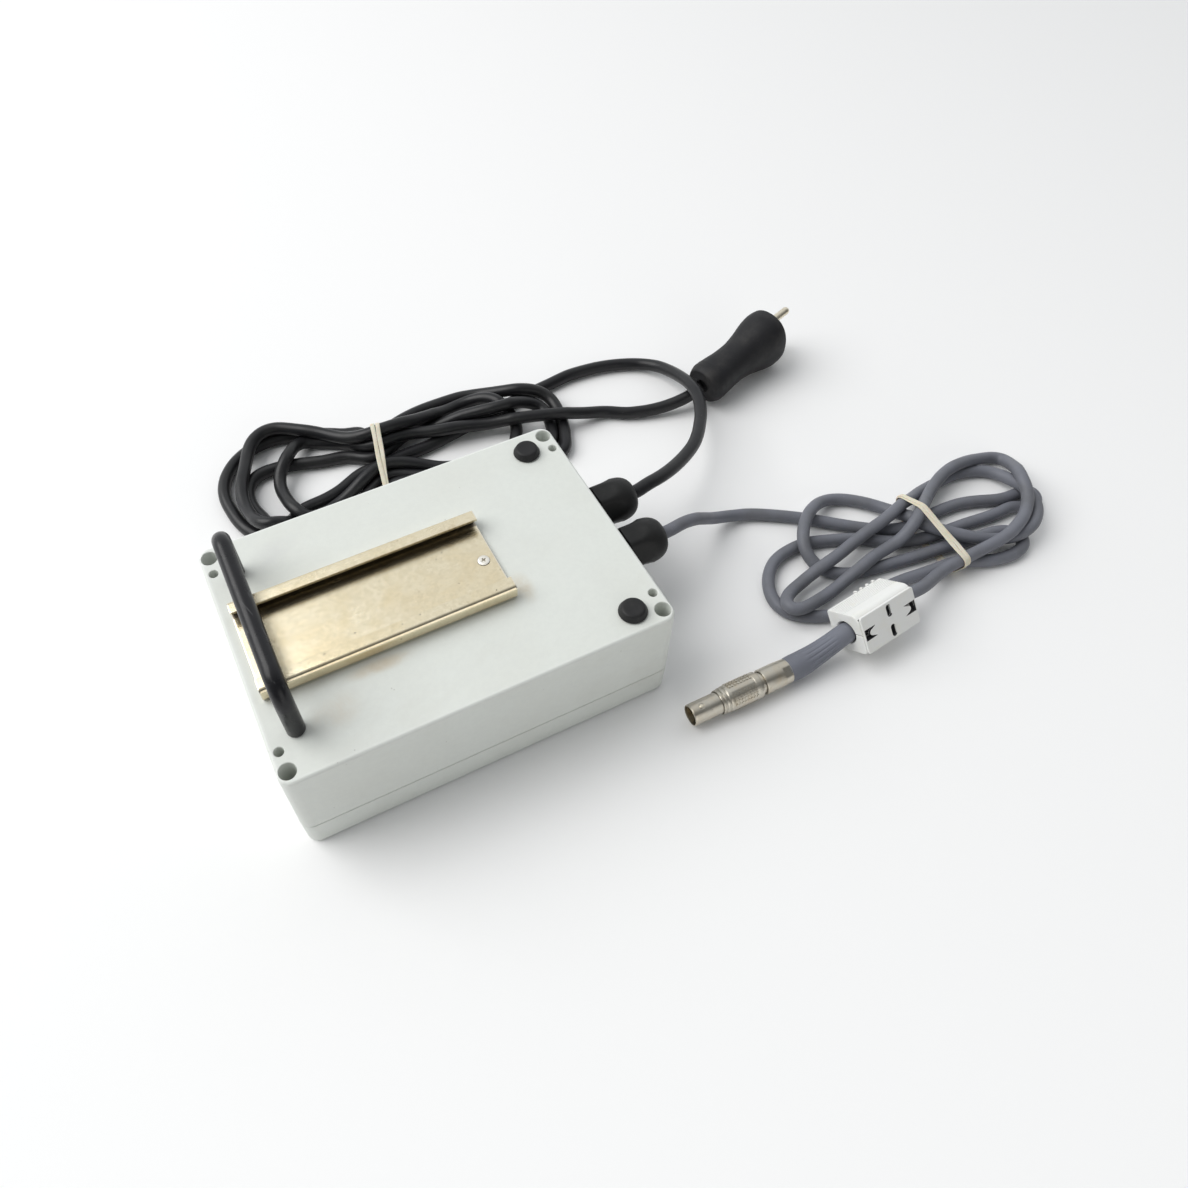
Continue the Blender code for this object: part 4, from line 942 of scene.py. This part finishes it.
# a shallow moulded panel on the lid's outer face
tools.append(solid("t", [[(x, y, z) for x, y in rounded(hx, hy, 4.0, 8)]
                         for z, hx, hy in ((-1, 66.4, 41.4), (0.0, 66.4, 41.4), (0.4, 66.0, 41.0))]))
carve(lid, tools)
wear(lid, lambda p: max(0.0, 1 - abs(p.z - 0.6) / 1.4) if max(abs(p.x) - 88.0, abs(p.y) - 62.7) > 0 else 0.0)
piece(lid, M_CASE, "root", ["lid"], angle=32)

# =============================================================================
# mounting rail
# =============================================================================
RZ, RAIL_T = BOX_H + 0.3, 1.5


def rail_section(t=RAIL_T, w=25.0, h=8.0, lip=6.8, ro=2.2, n=12):
    ri = ro - t
    out = arc((w - ro, ro), ro, -90, 0, n) + arc((w - ro, h - ro), ro, 0, 90, n)
    inn = arc((w - ro, h - ro), ri, 90, 0, 8) + arc((w - ro, ro), ri, 0, -90, 8)
    edge = [(w - lip + 0.3, h), (w - lip + 0.09, h - 0.09), (w - lip, h - 0.3), (w - lip, h - t + 0.3),
            (w - lip + 0.09, h - t + 0.09), (w - lip + 0.3, h - t)]
    half = out + edge + inn
    return half + [(-y, z) for y, z in reversed(half)]


RX0, RX1 = -85.0, 31.5
rail = solid("mounting_channel", [[(x, y, z + RZ) for y, z in rail_section()]
                                  for x in (RX0, RX0 + 0.7, -60.0, -35.0, -5.0, 12.0, RX1 - 0.7, RX1)])
carve(rail, [lathe("t", [(RZ - 1, 1.8), (RZ + 0.2, 1.8), (RZ + RAIL_T + 0.3, 3.3), (RZ + 3, 3.3)], 40, origin=(x, y, 0))
             for x, y in RAIL_SCREWS])
bevel(rail, 0.16, 2, 50)
wear(rail, lambda p: 1.0 if (p.x < RX0 + 0.2 or p.x > RX1 - 0.2) else 0.0)
piece(rail, M_ZINC, "root", ["mounting_rail"], angle=30)

for k, (x, y) in enumerate(RAIL_SCREWS):
    zt = RZ + RAIL_T
    s = lathe(f"rail_fixing_screw_{k + 1}", [(50.0, 0.9), (50.6, 1.4), (RZ + 0.35, 1.4), (zt - 0.05, 2.7), (zt + 0.16, 2.86),
                                             (zt + 0.32, 2.72), (zt + 0.43, 2.3), (zt + 0.47, 1.6)], 48, origin=(x, y, 0))
    carve(s, [cross_tool(x, y, zt + 0.47, 1.2, 1.5, turn=0.35)])
    piece(s, M_STEEL, "root", [f"rail_screw_{k + 1}"], angle=30)

# =============================================================================
# handle
# =============================================================================
HR, HB, ZC = 4.0, 11.0, 96.0 - 4.0
path = [(-HANDLE_Y, BOX_H + 0.3, HR - 0.35), (-HANDLE_Y, BOX_H + 0.42, HR - 0.12), (-HANDLE_Y, BOX_H + 0.7, HR)]
path += [(-HANDLE_Y, BOX_H + 0.7 + (ZC - HB - BOX_H - 0.7) * f, HR) for f in (0.25, 0.5, 0.75)]
path += [(-HANDLE_Y + HB * (1 - math.cos(math.radians(a))), ZC - HB + HB * math.sin(math.radians(a)), HR)
         for a in range(0, 91, 6)]
mid = [(y, ZC, HR) for y in (-24, -12, 0)]
path = path + mid + [(-y, z, r) for y, z, r in reversed(path + mid[:-1])]
rings = []
for i, (y, z, r) in enumerate(path):
    a, b = path[max(i - 1, 0)], path[min(i + 1, len(path) - 1)]
    d = Vector((0, b[0] - a[0], b[1] - a[1])).normalized()
    if i < 4 or i > len(path) - 5:
        d = Vector((0, 0, 1 if i < 4 else -1))
    up = Vector((1, 0, 0)).cross(d)
    rings.append([Vector((HANDLE_X, y + HANDLE_OFF, z)) + Vector((1, 0, 0)) * (r * math.cos(2 * math.pi * k / 48))
                  + up * (r * math.sin(2 * math.pi * k / 48)) for k in range(48)])
handle = solid("bar_handle", rings)
carve(handle, [lathe("t", [(BOX_H - 1, 2.3), (BOX_H + 15, 2.3)], 24, origin=(HANDLE_X, HANDLE_OFF + s * HANDLE_Y, 0)) for s in (-1, 1)])
piece(handle, M_BAR, "root", ["carry_handle"], angle=40)

# =============================================================================
# feet
# =============================================================================
for k, (x, y) in enumerate(FEET):
    z = BOX_H + 0.3
    prof = [(z, 6.2), (z + 0.12, 6.45), (z + 0.4, 6.58), (z + 0.75, 6.55), (z + 1.05, 6.4)]
    prof += [(z + 1.3, 6.22), (z + 2.2, 5.82), (z + 2.8, 5.55)]
    prof += [(z + 3.1, 5.36), (z + 3.35, 5.08), (z + 3.52, 4.7), (z + 3.6, 4.2), (z + 3.58, 3.4), (z + 3.5, 2.0), (z + 3.47, 0.8)]
    foot = lathe(f"screw_on_foot_{k + 1}", prof, 64, origin=(x, y, 0))
    piece(foot, M_FOOT, "root", [f"rubber_foot_{k + 1}"], angle=50)

# =============================================================================
# cable glands
# =============================================================================


def hexr(a, af):
    return af / 2 / math.cos((a % (math.pi / 3)) - math.pi / 6)


for tag, y in (("mains", GLAND_Y[0]), ("data", GLAND_Y[1])):
    o = (0, y, GLAND_Z)
    bore = 4.1

    def body_r(t, r, a):
        return min(r, hexr(a, 20.6)) if 90.9 < t < 97.0 and r > 9 else r
    thread = []
    for k in range(9):
        t = 97.0 + k * 0.85
        thread += [(t, 8.25), (t + 0.18, 8.6), (t + 0.42, 8.6), (t + 0.6, 8.25)]
    body = lathe(f"{tag}_gland_hex_body", [(80.2, bore), (80.2, 7.6), (80.6, 8.0), (91.0, 8.0), (91.0, 10.3), (91.25, 10.75),
                                           (91.7, 11.15), (96.1, 11.15), (96.55, 10.75), (96.8, 10.2), (96.8, 8.3)] + thread
                 + [(105.0, 8.2), (105.0, bore)], 96, "X", o, ring=True, radius=body_r)
    piece(body, M_NYLON, "root", [f"{tag}_gland_body"], angle=28)

    def cap_r(t, r, a):
        if r < 9.15 and t < 113:
            return r
        grow = 0.0 if t < 103.5 else ((t - 103.5) / 8.0) ** 1.6 * 3.2
        return min(r, hexr(a, 20.9 + grow)) if t < 112.5 else r
    cap = lathe(f"{tag}_gland_dome_cap",
                [(97.2, 9.1), (97.2, 10.6), (97.35, 11.0), (97.7, 11.35), (98.2, 11.5), (101.0, 11.55), (103.5, 11.55),
                 (105.5, 11.52), (107.5, 11.5), (109.5, 11.45), (111.2, 11.3), (112.6, 11.05), (113.9, 10.7), (115.1, 10.2),
                 (116.2, 9.55), (117.2, 8.7), (118.0, 7.7), (118.5, 6.7), (118.8, 5.7), (118.85, 5.1), (118.7, 4.65),
                 (118.4, 4.4), (115.4, 4.4), (112.4, 7.6), (106.6, 7.9), (106.2, 9.1)],
                96, "X", o, ring=True, radius=cap_r)
    piece(cap, M_NYLON, "root", [f"{tag}_gland_cap"], angle=26)

# =============================================================================
# two-pin plug
# =============================================================================
PLUG_A, PLUG_B = Vector((209.5, 95.0, 12.3)), Vector((266.5, 110.6, 18.5))
PU = (PLUG_B - PLUG_A).normalized()
PL = (PLUG_B - PLUG_A).length
PS = PU.cross(Vector((0, 0, 1))).normalized()
PV = PS.cross(PU)
SECT = np.array([(0.0, 10.6, 10.3), (4.0, 12.1, 11.7), (11.0, 11.9, 11.5), (20.0, 11.0, 11.2), (29.0, 10.9, 11.9),
                 (38.0, 12.3, 14.2), (46.0, 14.2, 16.8), (52.0, 14.9, 17.9), (57.0, 14.4, 17.4), (PL, 13.6, 16.6)])


def sect(t):
    """Half width and half height of the plug at t, smoothly through the table."""
    out = []
    for c in (1, 2):
        x, v = SECT[:, 0], SECT[:, c]
        m = np.gradient(v, x)
        i = int(np.clip(np.searchsorted(x, t) - 1, 0, len(x) - 2))
        h = x[i + 1] - x[i]
        u = min(max((t - x[i]) / h, 0), 1)
        out.append((2 * u ** 3 - 3 * u ** 2 + 1) * v[i] + (u ** 3 - 2 * u ** 2 + u) * h * m[i]
                   + (3 * u ** 2 - 2 * u ** 3) * v[i + 1] + (u ** 3 - u ** 2) * h * m[i + 1])
    return out


def plug_ring(t, b, a, n=72, e=0.86):
    c = PLUG_A + PU * t
    out = []
    for k in range(n):
        w = 2 * math.pi * k / n
        cs, sn = math.cos(w), math.sin(w)
        out.append(c + PS * (b * math.copysign(abs(cs) ** e, cs)) + PV * (a * math.copysign(abs(sn) ** e, sn)))
    return out


b0, a0 = sect(0.0)
rings = [plug_ring(3.2, 3.9, 3.9, e=1), plug_ring(0.9, 4.0, 4.0, e=1), plug_ring(0.25, 4.25, 4.25, e=1), plug_ring(0.0, 4.9, 4.9, e=1),
         plug_ring(0.0, (b0 + 4.9) / 2 - 0.5, (a0 + 4.9) / 2 - 0.5, e=0.95), plug_ring(0.0, b0 - 1.3, a0 - 1.3)]
for a in (15, 30, 45, 60, 75, 90):
    q = 1.1 * (1 - math.sin(math.radians(a)))
    t = 1.1 * (1 - math.cos(math.radians(a)))
    b, h = sect(t)
    rings.append(plug_ring(t, b - q, h - q))
for k in range(1, 52):
    t = 1.1 + (PL - 2.6 - 1.1) * k / 52
    b, h = sect(t)
    # a shallow finger ring behind the head
    g = 0.28 * math.exp(-((t - 6.4) / 0.7) ** 2)
    rings.append(plug_ring(t, b - g, h - g))
b1, a1 = sect(PL - 2.6)
for a in (0, 12, 25, 38, 52, 66, 78, 90):
    q = 2.6 * (1 - math.cos(math.radians(a)))
    rings.append(plug_ring(PL - 2.6 + 2.6 * math.sin(math.radians(a)), b1 - q, a1 - q))
plug = solid("moulded_plug", rings)
PF = Matrix((PS, PV, PU)).transposed().to_4x4()
pin_mats = [Matrix.Translation((PLUG_B + PV * (9.5 * s)) * MM) @ PF for s in (1, -1)]
carve(plug, [lathe("t", [(-8.0, 2.6), (-0.35, 2.6), (-0.05, 2.9), (0.3, 3.2), (3.0, 3.2)], 40, matrix=m) for m in pin_mats])
piece(plug, M_PLUG, "root", ["plug_body"], angle=34)
for k, m in enumerate(pin_mats):
    pin = lathe(f"round_pin_{k + 1}", [(-7.7, 2.3), (13.0, 2.3), (13.7, 2.2), (14.3, 1.95), (14.7, 1.6), (14.95, 1.1), (15.0, 0.6)],
                40, matrix=m)
    piece(pin, M_PIN, "root", [f"plug_pin_{k + 1}"], angle=40)

# =============================================================================
# ferrite clamp
# =============================================================================
FC = Vector((196.0, -83.5, 14.5))
FM = Matrix.Translation(FC * MM) @ Matrix.Rotation(math.radians(7), 4, "Z") @ Matrix.Rotation(math.radians(-39), 4, "X")
H, L2 = 10.5, 17.7


def yz_loft(name, section, x0, x1, inset=0.55, matrix=FM):
    """A section in Y-Z drawn along X, its two ends rounded over."""
    cy = (max(p[0] for p in section) + min(p[0] for p in section)) / 2
    cz = (max(p[1] for p in section) + min(p[1] for p in section)) / 2
    hy = max(p[0] for p in section) - cy
    hz = max(p[1] for p in section) - cz
    rings = []
    steps = [(90, 0), (68, 0), (45, 0), (22, 0), (0, 0)]
    for a, _ in steps:
        q = inset * (1 - math.cos(math.radians(a)))
        x = x0 + inset * (1 - math.sin(math.radians(a)))
        rings.append([(x, cy + (p[0] - cy) * (1 - q / hy), cz + (p[1] - cz) * (1 - q / hz)) for p in section])
    for a, _ in reversed(steps):
        q = inset * (1 - math.cos(math.radians(a)))
        x = x1 - inset * (1 - math.sin(math.radians(a)))
        rings.append([(x, cy + (p[0] - cy) * (1 - q / hy), cz + (p[1] - cz) * (1 - q / hz)) for p in section])
    return solid(name, rings, matrix=matrix)


RF, RR = 4.6, 1.6
ribs = []
for k in range(8):                       # fine lengthwise ribs on the cover, rear to front
    y = H - 2.4 - k * 1.25
    ribs += [(y, H), (y - 0.28, H + 0.0), (y - 0.42, H - 0.24), (y - 0.90, H - 0.24), (y - 1.04, H)]
top = [(H, 0.15)] + arc((H - RR, H - RR), RR, 0, 90, 6) + ribs + arc((-H + RF, H - RF), RF, 90, 180, 10) + [(-H, 0.15)]
low = [(-H, -0.15)] + arc((-H + 2.4, -H + 2.4), 2.4, 180, 270, 8) + arc((H - 2.4, -H + 2.4), 2.4, 270, 360, 8) + [(H, -0.15)]
cover = yz_loft("ferrite_cover_shell", top, -L2, L2)
shell = yz_loft("ferrite_base_shell", low, -L2, L2)


def xz_prism(name, outline, ys, matrix=FM):
    """Outline in X-Z, one ring for each (y, inset)."""
    return solid(name, [[(x, y, z) for x, z in outline(i)] for y, i in ys], matrix=matrix)


def flap_outline(i):
    return [(x, z - 0.1) for x, z in rounded(17.3 - i, 9.9 - i, 1.4 - min(i, 0.5), 6)]


flap = xz_prism("t", flap_outline, ((-11.7, 0.5), (-11.62, 0.25), (-11.45, 0.07), (-11.25, 0.0), (-10.75, 0.0)))
root = box("t", (-16.7, -11.0, -9.0), (16.7, -9.1, -0.7), FM)
carve(shell, [root, flap], "UNION")


def stadium(cx, cz, w, h, n=10):
    r = w / 2
    return ([(cx + r * math.cos(math.radians(180 * k / n)), cz + h / 2 - r + r * math.sin(math.radians(180 * k / n)))
             for k in range(n + 1)]
            + [(cx - r * math.cos(math.radians(180 * k / n)), cz - h / 2 + r - r * math.sin(math.radians(180 * k / n)))
               for k in range(n + 1)])


def c_slot(s):
    """C-shaped cut round a latch tongue that stays joined on the inner side."""
    c = -0.3 if s > 0 else 0.0
    xo, xb, xi = s * 16.6, s * 13.7, s * 9.5
    out = [(xo, -3.0), (xo, 2.8), (s * 13.2, 2.8), (xi, 2.7), (s * 11.6, 1.75)]
    out += [(xb - s * 2.1 + s * 2.1 * math.cos(math.radians(a)), 1.75 * math.sin(math.radians(a)) - 0.1) for a in (70, 40, 15, -15, -40, -70)]
    out += [(s * 11.6, -1.95), (xi, -2.9), (s * 13.2, -3.0)]
    return [(x + c, z) for x, z in out]


def latch_tools(deep_slot, deep_c):
    out = []
    for cz in (5.2, -5.6):
        out.append(xz_prism("t", lambda i, cz=cz: stadium(0.3, cz, 2.6 + 2 * i, 6.2 + 2 * i),
                            ((-13, 0.15), (-11.4, 0.15), (-11.2, 0.0), (deep_slot, 0.0))))
    for s in (-1, 1):
        out.append(xz_prism("t", lambda i, s=s: c_slot(s), ((-13, 0), (deep_c, 0))))
    return out


core_tool = [lathe("t", [(-14.6, 8.2), (14.6, 8.2)], 48, "X", matrix=FM),
             lathe("t", [(-L2 - 1, 6.3), (-L2, 6.3), (-L2 + 0.7, 5.7), (L2 - 0.7, 5.7), (L2, 6.3), (L2 + 1, 6.3)], 48, "X", matrix=FM)]
carve(shell, core_tool + latch_tools(-6.0, -7.9))
core_tool = [lathe("t", [(-14.6, 8.2), (14.6, 8.2)], 48, "X", matrix=FM),
             lathe("t", [(-L2 - 1, 6.3), (-L2, 6.3), (-L2 + 0.7, 5.7), (L2 - 0.7, 5.7), (L2, 6.3), (L2 + 1, 6.3)], 48, "X", matrix=FM)]
carve(cover, core_tool + latch_tools(-6.0, -7.9))
# hinge lugs on the cover's rear edge
lugs = []
for k, x in enumerate((1.2, 5.2, 9.2, 13.2)):
    lugs.append(solid("t", [[(x + a, H - 0.9 + b * 0.9, H - 1.6 + c) for a, b in rounded(0.75 - i, 1.0 - i * 0.6, 0.3, 3)]
                            for c, i in ((0.0, 0.0), (1.9, 0.0), (2.15, 0.12), (2.25, 0.3))], matrix=FM))
carve(cover, lugs, "UNION")
piece(shell, M_WHITE, "root", ["ferrite_case_lower"], angle=32)
piece(cover, M_WHITE, "ferrite_cover", ["ferrite_case_upper"], angle=32)
# painted shade: the walls inside the latch windows get the dark ferrite material in place of the shade of the cavity
# behind them
for ob in (shell, cover):
    me = ob.data
    me.materials.append(M_CORE)
    into = FM.inverted() @ ob.matrix_world
    for f in me.polygons:
        q = (into @ f.center) / MM
        n = (into.to_3x3() @ f.normal).normalized()
        inside = (abs(q.x - 0.3) < 1.32 and 2.0 < abs(q.z + 0.2) < 8.7) or (9.1 < abs(q.x + 0.15) < 16.9 and -3.05 < q.z < 2.85)
        # inside marks the latch-window walls that get the painted shade
        if inside and -11.6 < q.y < -5.0 and abs(n.y) < 0.9:
            f.material_index = 1


# =============================================================================
# connector and its boot
# =============================================================================
CY, CZ = -87.6, 7.2
o = (0, CY, CZ)
ROUTE = [(143.4, CY, CZ), (147.5, CY, CZ + 0.1), (152, CY + 0.1, 7.6), (160.5, CY + 0.5, 9.2), (169, CY + 1.1, 11.7),
         (176.6, CY + 1.85, 13.9), (180.0, CY + 2.2, 14.4)]
line = curve_through(ROUTE, 0.75)
nb = len(line)
tab = np.array([(0.0, 5.95), (0.012, 6.1), (0.05, 6.3), (0.15, 6.42), (0.28, 6.2), (0.42, 5.8), (0.56, 5.5), (0.7, 5.32),
                (0.85, 5.2), (0.975, 5.1), (1.0, 4.85)])
rings = []
for i, p in enumerate(line):
    f = i / (nb - 1)
    d = Vector(line[min(i + 1, nb - 1)] - line[max(i - 1, 0)]).normalized()
    side = Vector((0, 1, 0))
    up = d.cross(side).normalized() * -1
    side = up.cross(d).normalized() * -1
    r = float(np.interp(f, tab[:, 0], tab[:, 1]))
    wv = 1 / (1 + math.exp(-(f - 0.30) / 0.018)) / (1 + math.exp((f - 0.74) / 0.022))
    ring = []
    for k in range(128):
        a = 2 * math.pi * k / 128
        groove = max(0.0, math.cos(16 * a)) ** 0.6
        q = r - 0.28 * wv * groove
        ring.append(Vector(p) + side * (q * math.cos(a)) + up * (q * math.sin(a)))
    rings.append(ring)
d = Vector(line[-1] - line[-2]).normalized()
for back, r in ((0.0, 3.75), (0.25, 3.5), (3.4, 3.45)):
    c = Vector(line[-1]) - d * back
    rings.append([c + side * (r * math.cos(2 * math.pi * k / 128)) + up * (r * math.sin(2 * math.pi * k / 128)) for k in range(128)])
boot = solid("connector_bend_boot", rings)
piece(boot, M_BOOT, "root", ["connector_boot"], angle=50)

FLAT = math.radians(118)


def nut_r(t, r, a):
    if 139.4 < t < 143.5 and r > 5.5:
        return min(r, 5.72 / max(abs(math.cos(a - FLAT)), 0.2))
    return r


nut = lathe("collet_nut", [(128.9, 5.7), (128.9, 6.05), (129.05, 6.25), (129.5, 6.42), (133.0, 6.44), (137.5, 6.42), (139.0, 6.38),
                           (139.3, 6.3), (139.5, 6.28), (143.3, 6.2), (143.6, 6.15), (143.88, 5.95), (144.0, 5.7), (144.0, 3.7),
                           (137.0, 3.7), (137.0, 5.7)], 96, "X", o, ring=True, radius=nut_r)
piece(nut, M_NICKEL, "root", ["connector_collet_nut"], angle=28)

# release sleeve: four fields of small square studs, with smooth strips between them
angles = []
for q in range(4):
    c0 = 45 + 90 * q
    for row in (-24, -8, 8, 24):
        for e in (-5.6, -4.7, 4.7, 5.6):
            angles.append(math.radians(c0 + row + e))
    for e in (-45, -41, -37, 37, 41):
        angles.append(math.radians(c0 + e))
angles = sorted(a % (2 * math.pi) for a in angles)
COLS = [110.7 + 1.65 * k for k in range(8)]


def stud(t, a):
    deg = math.degrees(a) % 90 - 45
    on_a = any(abs(deg - row) < 4.8 for row in (-24, -8, 8, 24))
    on_t = any(c + 0.08 < t < c + 1.04 for c in COLS)
    return on_a and on_t


xs = [(104.6, 5.75), (104.62, 5.95), (104.85, 6.1), (105.6, 6.12), (105.8, 6.02), (106.0, 5.9), (106.3, 5.9), (106.5, 6.1),
      (106.7, 6.3), (107.6, 6.42), (107.8, 6.34), (108.0, 6.2), (108.3, 6.2), (108.5, 6.4), (108.8, 6.55), (109.4, 6.62), (110.4, 6.62)]
for c in COLS:
    xs += [(c, 6.52), (c + 0.1, 6.52), (c + 1.02, 6.52), (c + 1.12, 6.52)]
xs += [(123.6, 6.55), (123.85, 6.62), (124.1, 6.72), (126.3, 6.7), (126.7, 6.55), (126.95, 6.3), (127.0, 6.1)]
rings = []
for t, r in xs:
    ring = []
    for a in angles:
        q = r
        if 110.6 < t < 123.5:
            q = 6.85 if stud(t, a) else 6.52
            deg = math.degrees(a) % 90 - 45
            if abs(deg) > 33:
                q = 6.70
        ring.append((t, CY + q * math.cos(a), CZ + q * math.sin(a)))
    rings.append(ring)
for t, r in ((127.0, 5.7), (104.6, 5.7)):
    rings.append([(t, CY + r * math.cos(a), CZ + r * math.sin(a)) for a in angles])
sleeve = solid("push_pull_sleeve", rings, closed=True)
piece(sleeve, M_NICKEL, "release_sleeve", ["connector_release_sleeve"], angle=24)

shell_c = lathe("plug_shell", [(89.4, 4.78), (89.38, 5.05), (89.5, 5.25), (89.8, 5.38), (90.4, 5.4), (98.6, 5.4), (98.8, 5.32), (99.2, 5.32),
                               (99.4, 5.4), (103.2, 5.4), (127.2, 5.4), (136.6, 5.4), (136.6, 3.7), (120.0, 3.7), (120.0, 4.7),
                               (90.0, 4.7)], 96, "X", o, ring=True)
DOT = math.radians(92)
dot_m = Matrix.Translation(Vector((94.6, CY + 5.4 * math.cos(DOT), CZ + 5.4 * math.sin(DOT))) * MM) @ Matrix.Rotation(DOT - math.pi / 2, 4, "X")
carve(shell_c, [lathe("t", [(-0.35, 1.55), (0.6, 1.55), (0.6, 1.15), (-0.35, 1.15)], 36, ring=True, matrix=dot_m)])
piece(shell_c, M_NICKEL, "root", ["connector_shell"], angle=28)
stud_dot = lathe("index_stud", [(-0.25, 1.0), (0.02, 1.0), (0.14, 0.9), (0.22, 0.65), (0.25, 0.3)], 32, matrix=dot_m)
piece(stud_dot, M_PIN, "root", [], angle=40)

insert = lathe("contact_carrier", [(96.6, 3.9), (96.8, 4.3), (97.2, 4.45), (119.4, 4.45)], 48, "X", o)
spots = [(0.0, 0.0)] + [(2.7 * math.cos(2 * math.pi * k / 6), 2.7 * math.sin(2 * math.pi * k / 6)) for k in range(6)]
carve(insert, [lathe("t", [(96.0, 0.62), (98.4, 0.62)], 20, "X", (0, CY + a, CZ + b)) for a, b in spots])
piece(insert, M_PEEK, "root", ["connector_insert"], angle=40)
for k, (a, b) in enumerate(spots):
    contact = lathe(f"contact_{k + 1}", [(91.8, 0.2), (92.0, 0.4), (92.4, 0.5), (98.3, 0.5)], 20, "X", (0, CY + a, CZ + b))
    piece(contact, M_GOLD, "root", [], angle=40)

# =============================================================================
# frame pieces that stay: better finishes
# =============================================================================
KEEP = {"lid_gasket": M_GASKET, "circuit_board": M_BOARD, "mains_transformer": M_XFMR, "smoothing_capacitor": M_DARK,
        "fuse_holder": M_DARK, "mains_terminal_block": M_GREEN, "data_terminal_block": M_GREEN,
        "ferrite_core_lower": M_CORE, "ferrite_core_upper": M_CORE,
        "mains_inner_lead": M_BLACK_CORD, "data_inner_lead": M_GREY_CORD,
        "mains_gland_seal": M_FOOT, "data_gland_seal": M_FOOT, "mains_gland_locknut": M_NYLON, "data_gland_locknut": M_NYLON}
for n in NODES:
    if n.startswith("lid_insert"):
        KEEP[n] = M_BRASS
    elif n.startswith(("lid_screw", "board_screw", "handle_screw", "rail_nut")):
        KEEP[n] = M_STEEL
for n, m in KEEP.items():
    for s in NODES[n].material_slots:
        s.material = m

floor_mesh = bpy.data.meshes.new("floor")
bmf = bmesh.new()
for v in ((-4, -4), (4, -4), (4, 4), (-4, 4)):
    bmf.verts.new((v[0], v[1], -0.00025))
bmf.faces.new(bmf.verts)
bmf.to_mesh(floor_mesh)
bmf.free()
floor = bpy.data.objects.new("floor", floor_mesh)
COL.objects.link(floor)
fs = Shade("pale_floor", (0.93, 0.93, 0.93), 0.85, spec=0.1)
fs.roughen(fs.noise(20, 2), 0.8, 0.9)
floor_mesh.materials.append(fs.done())
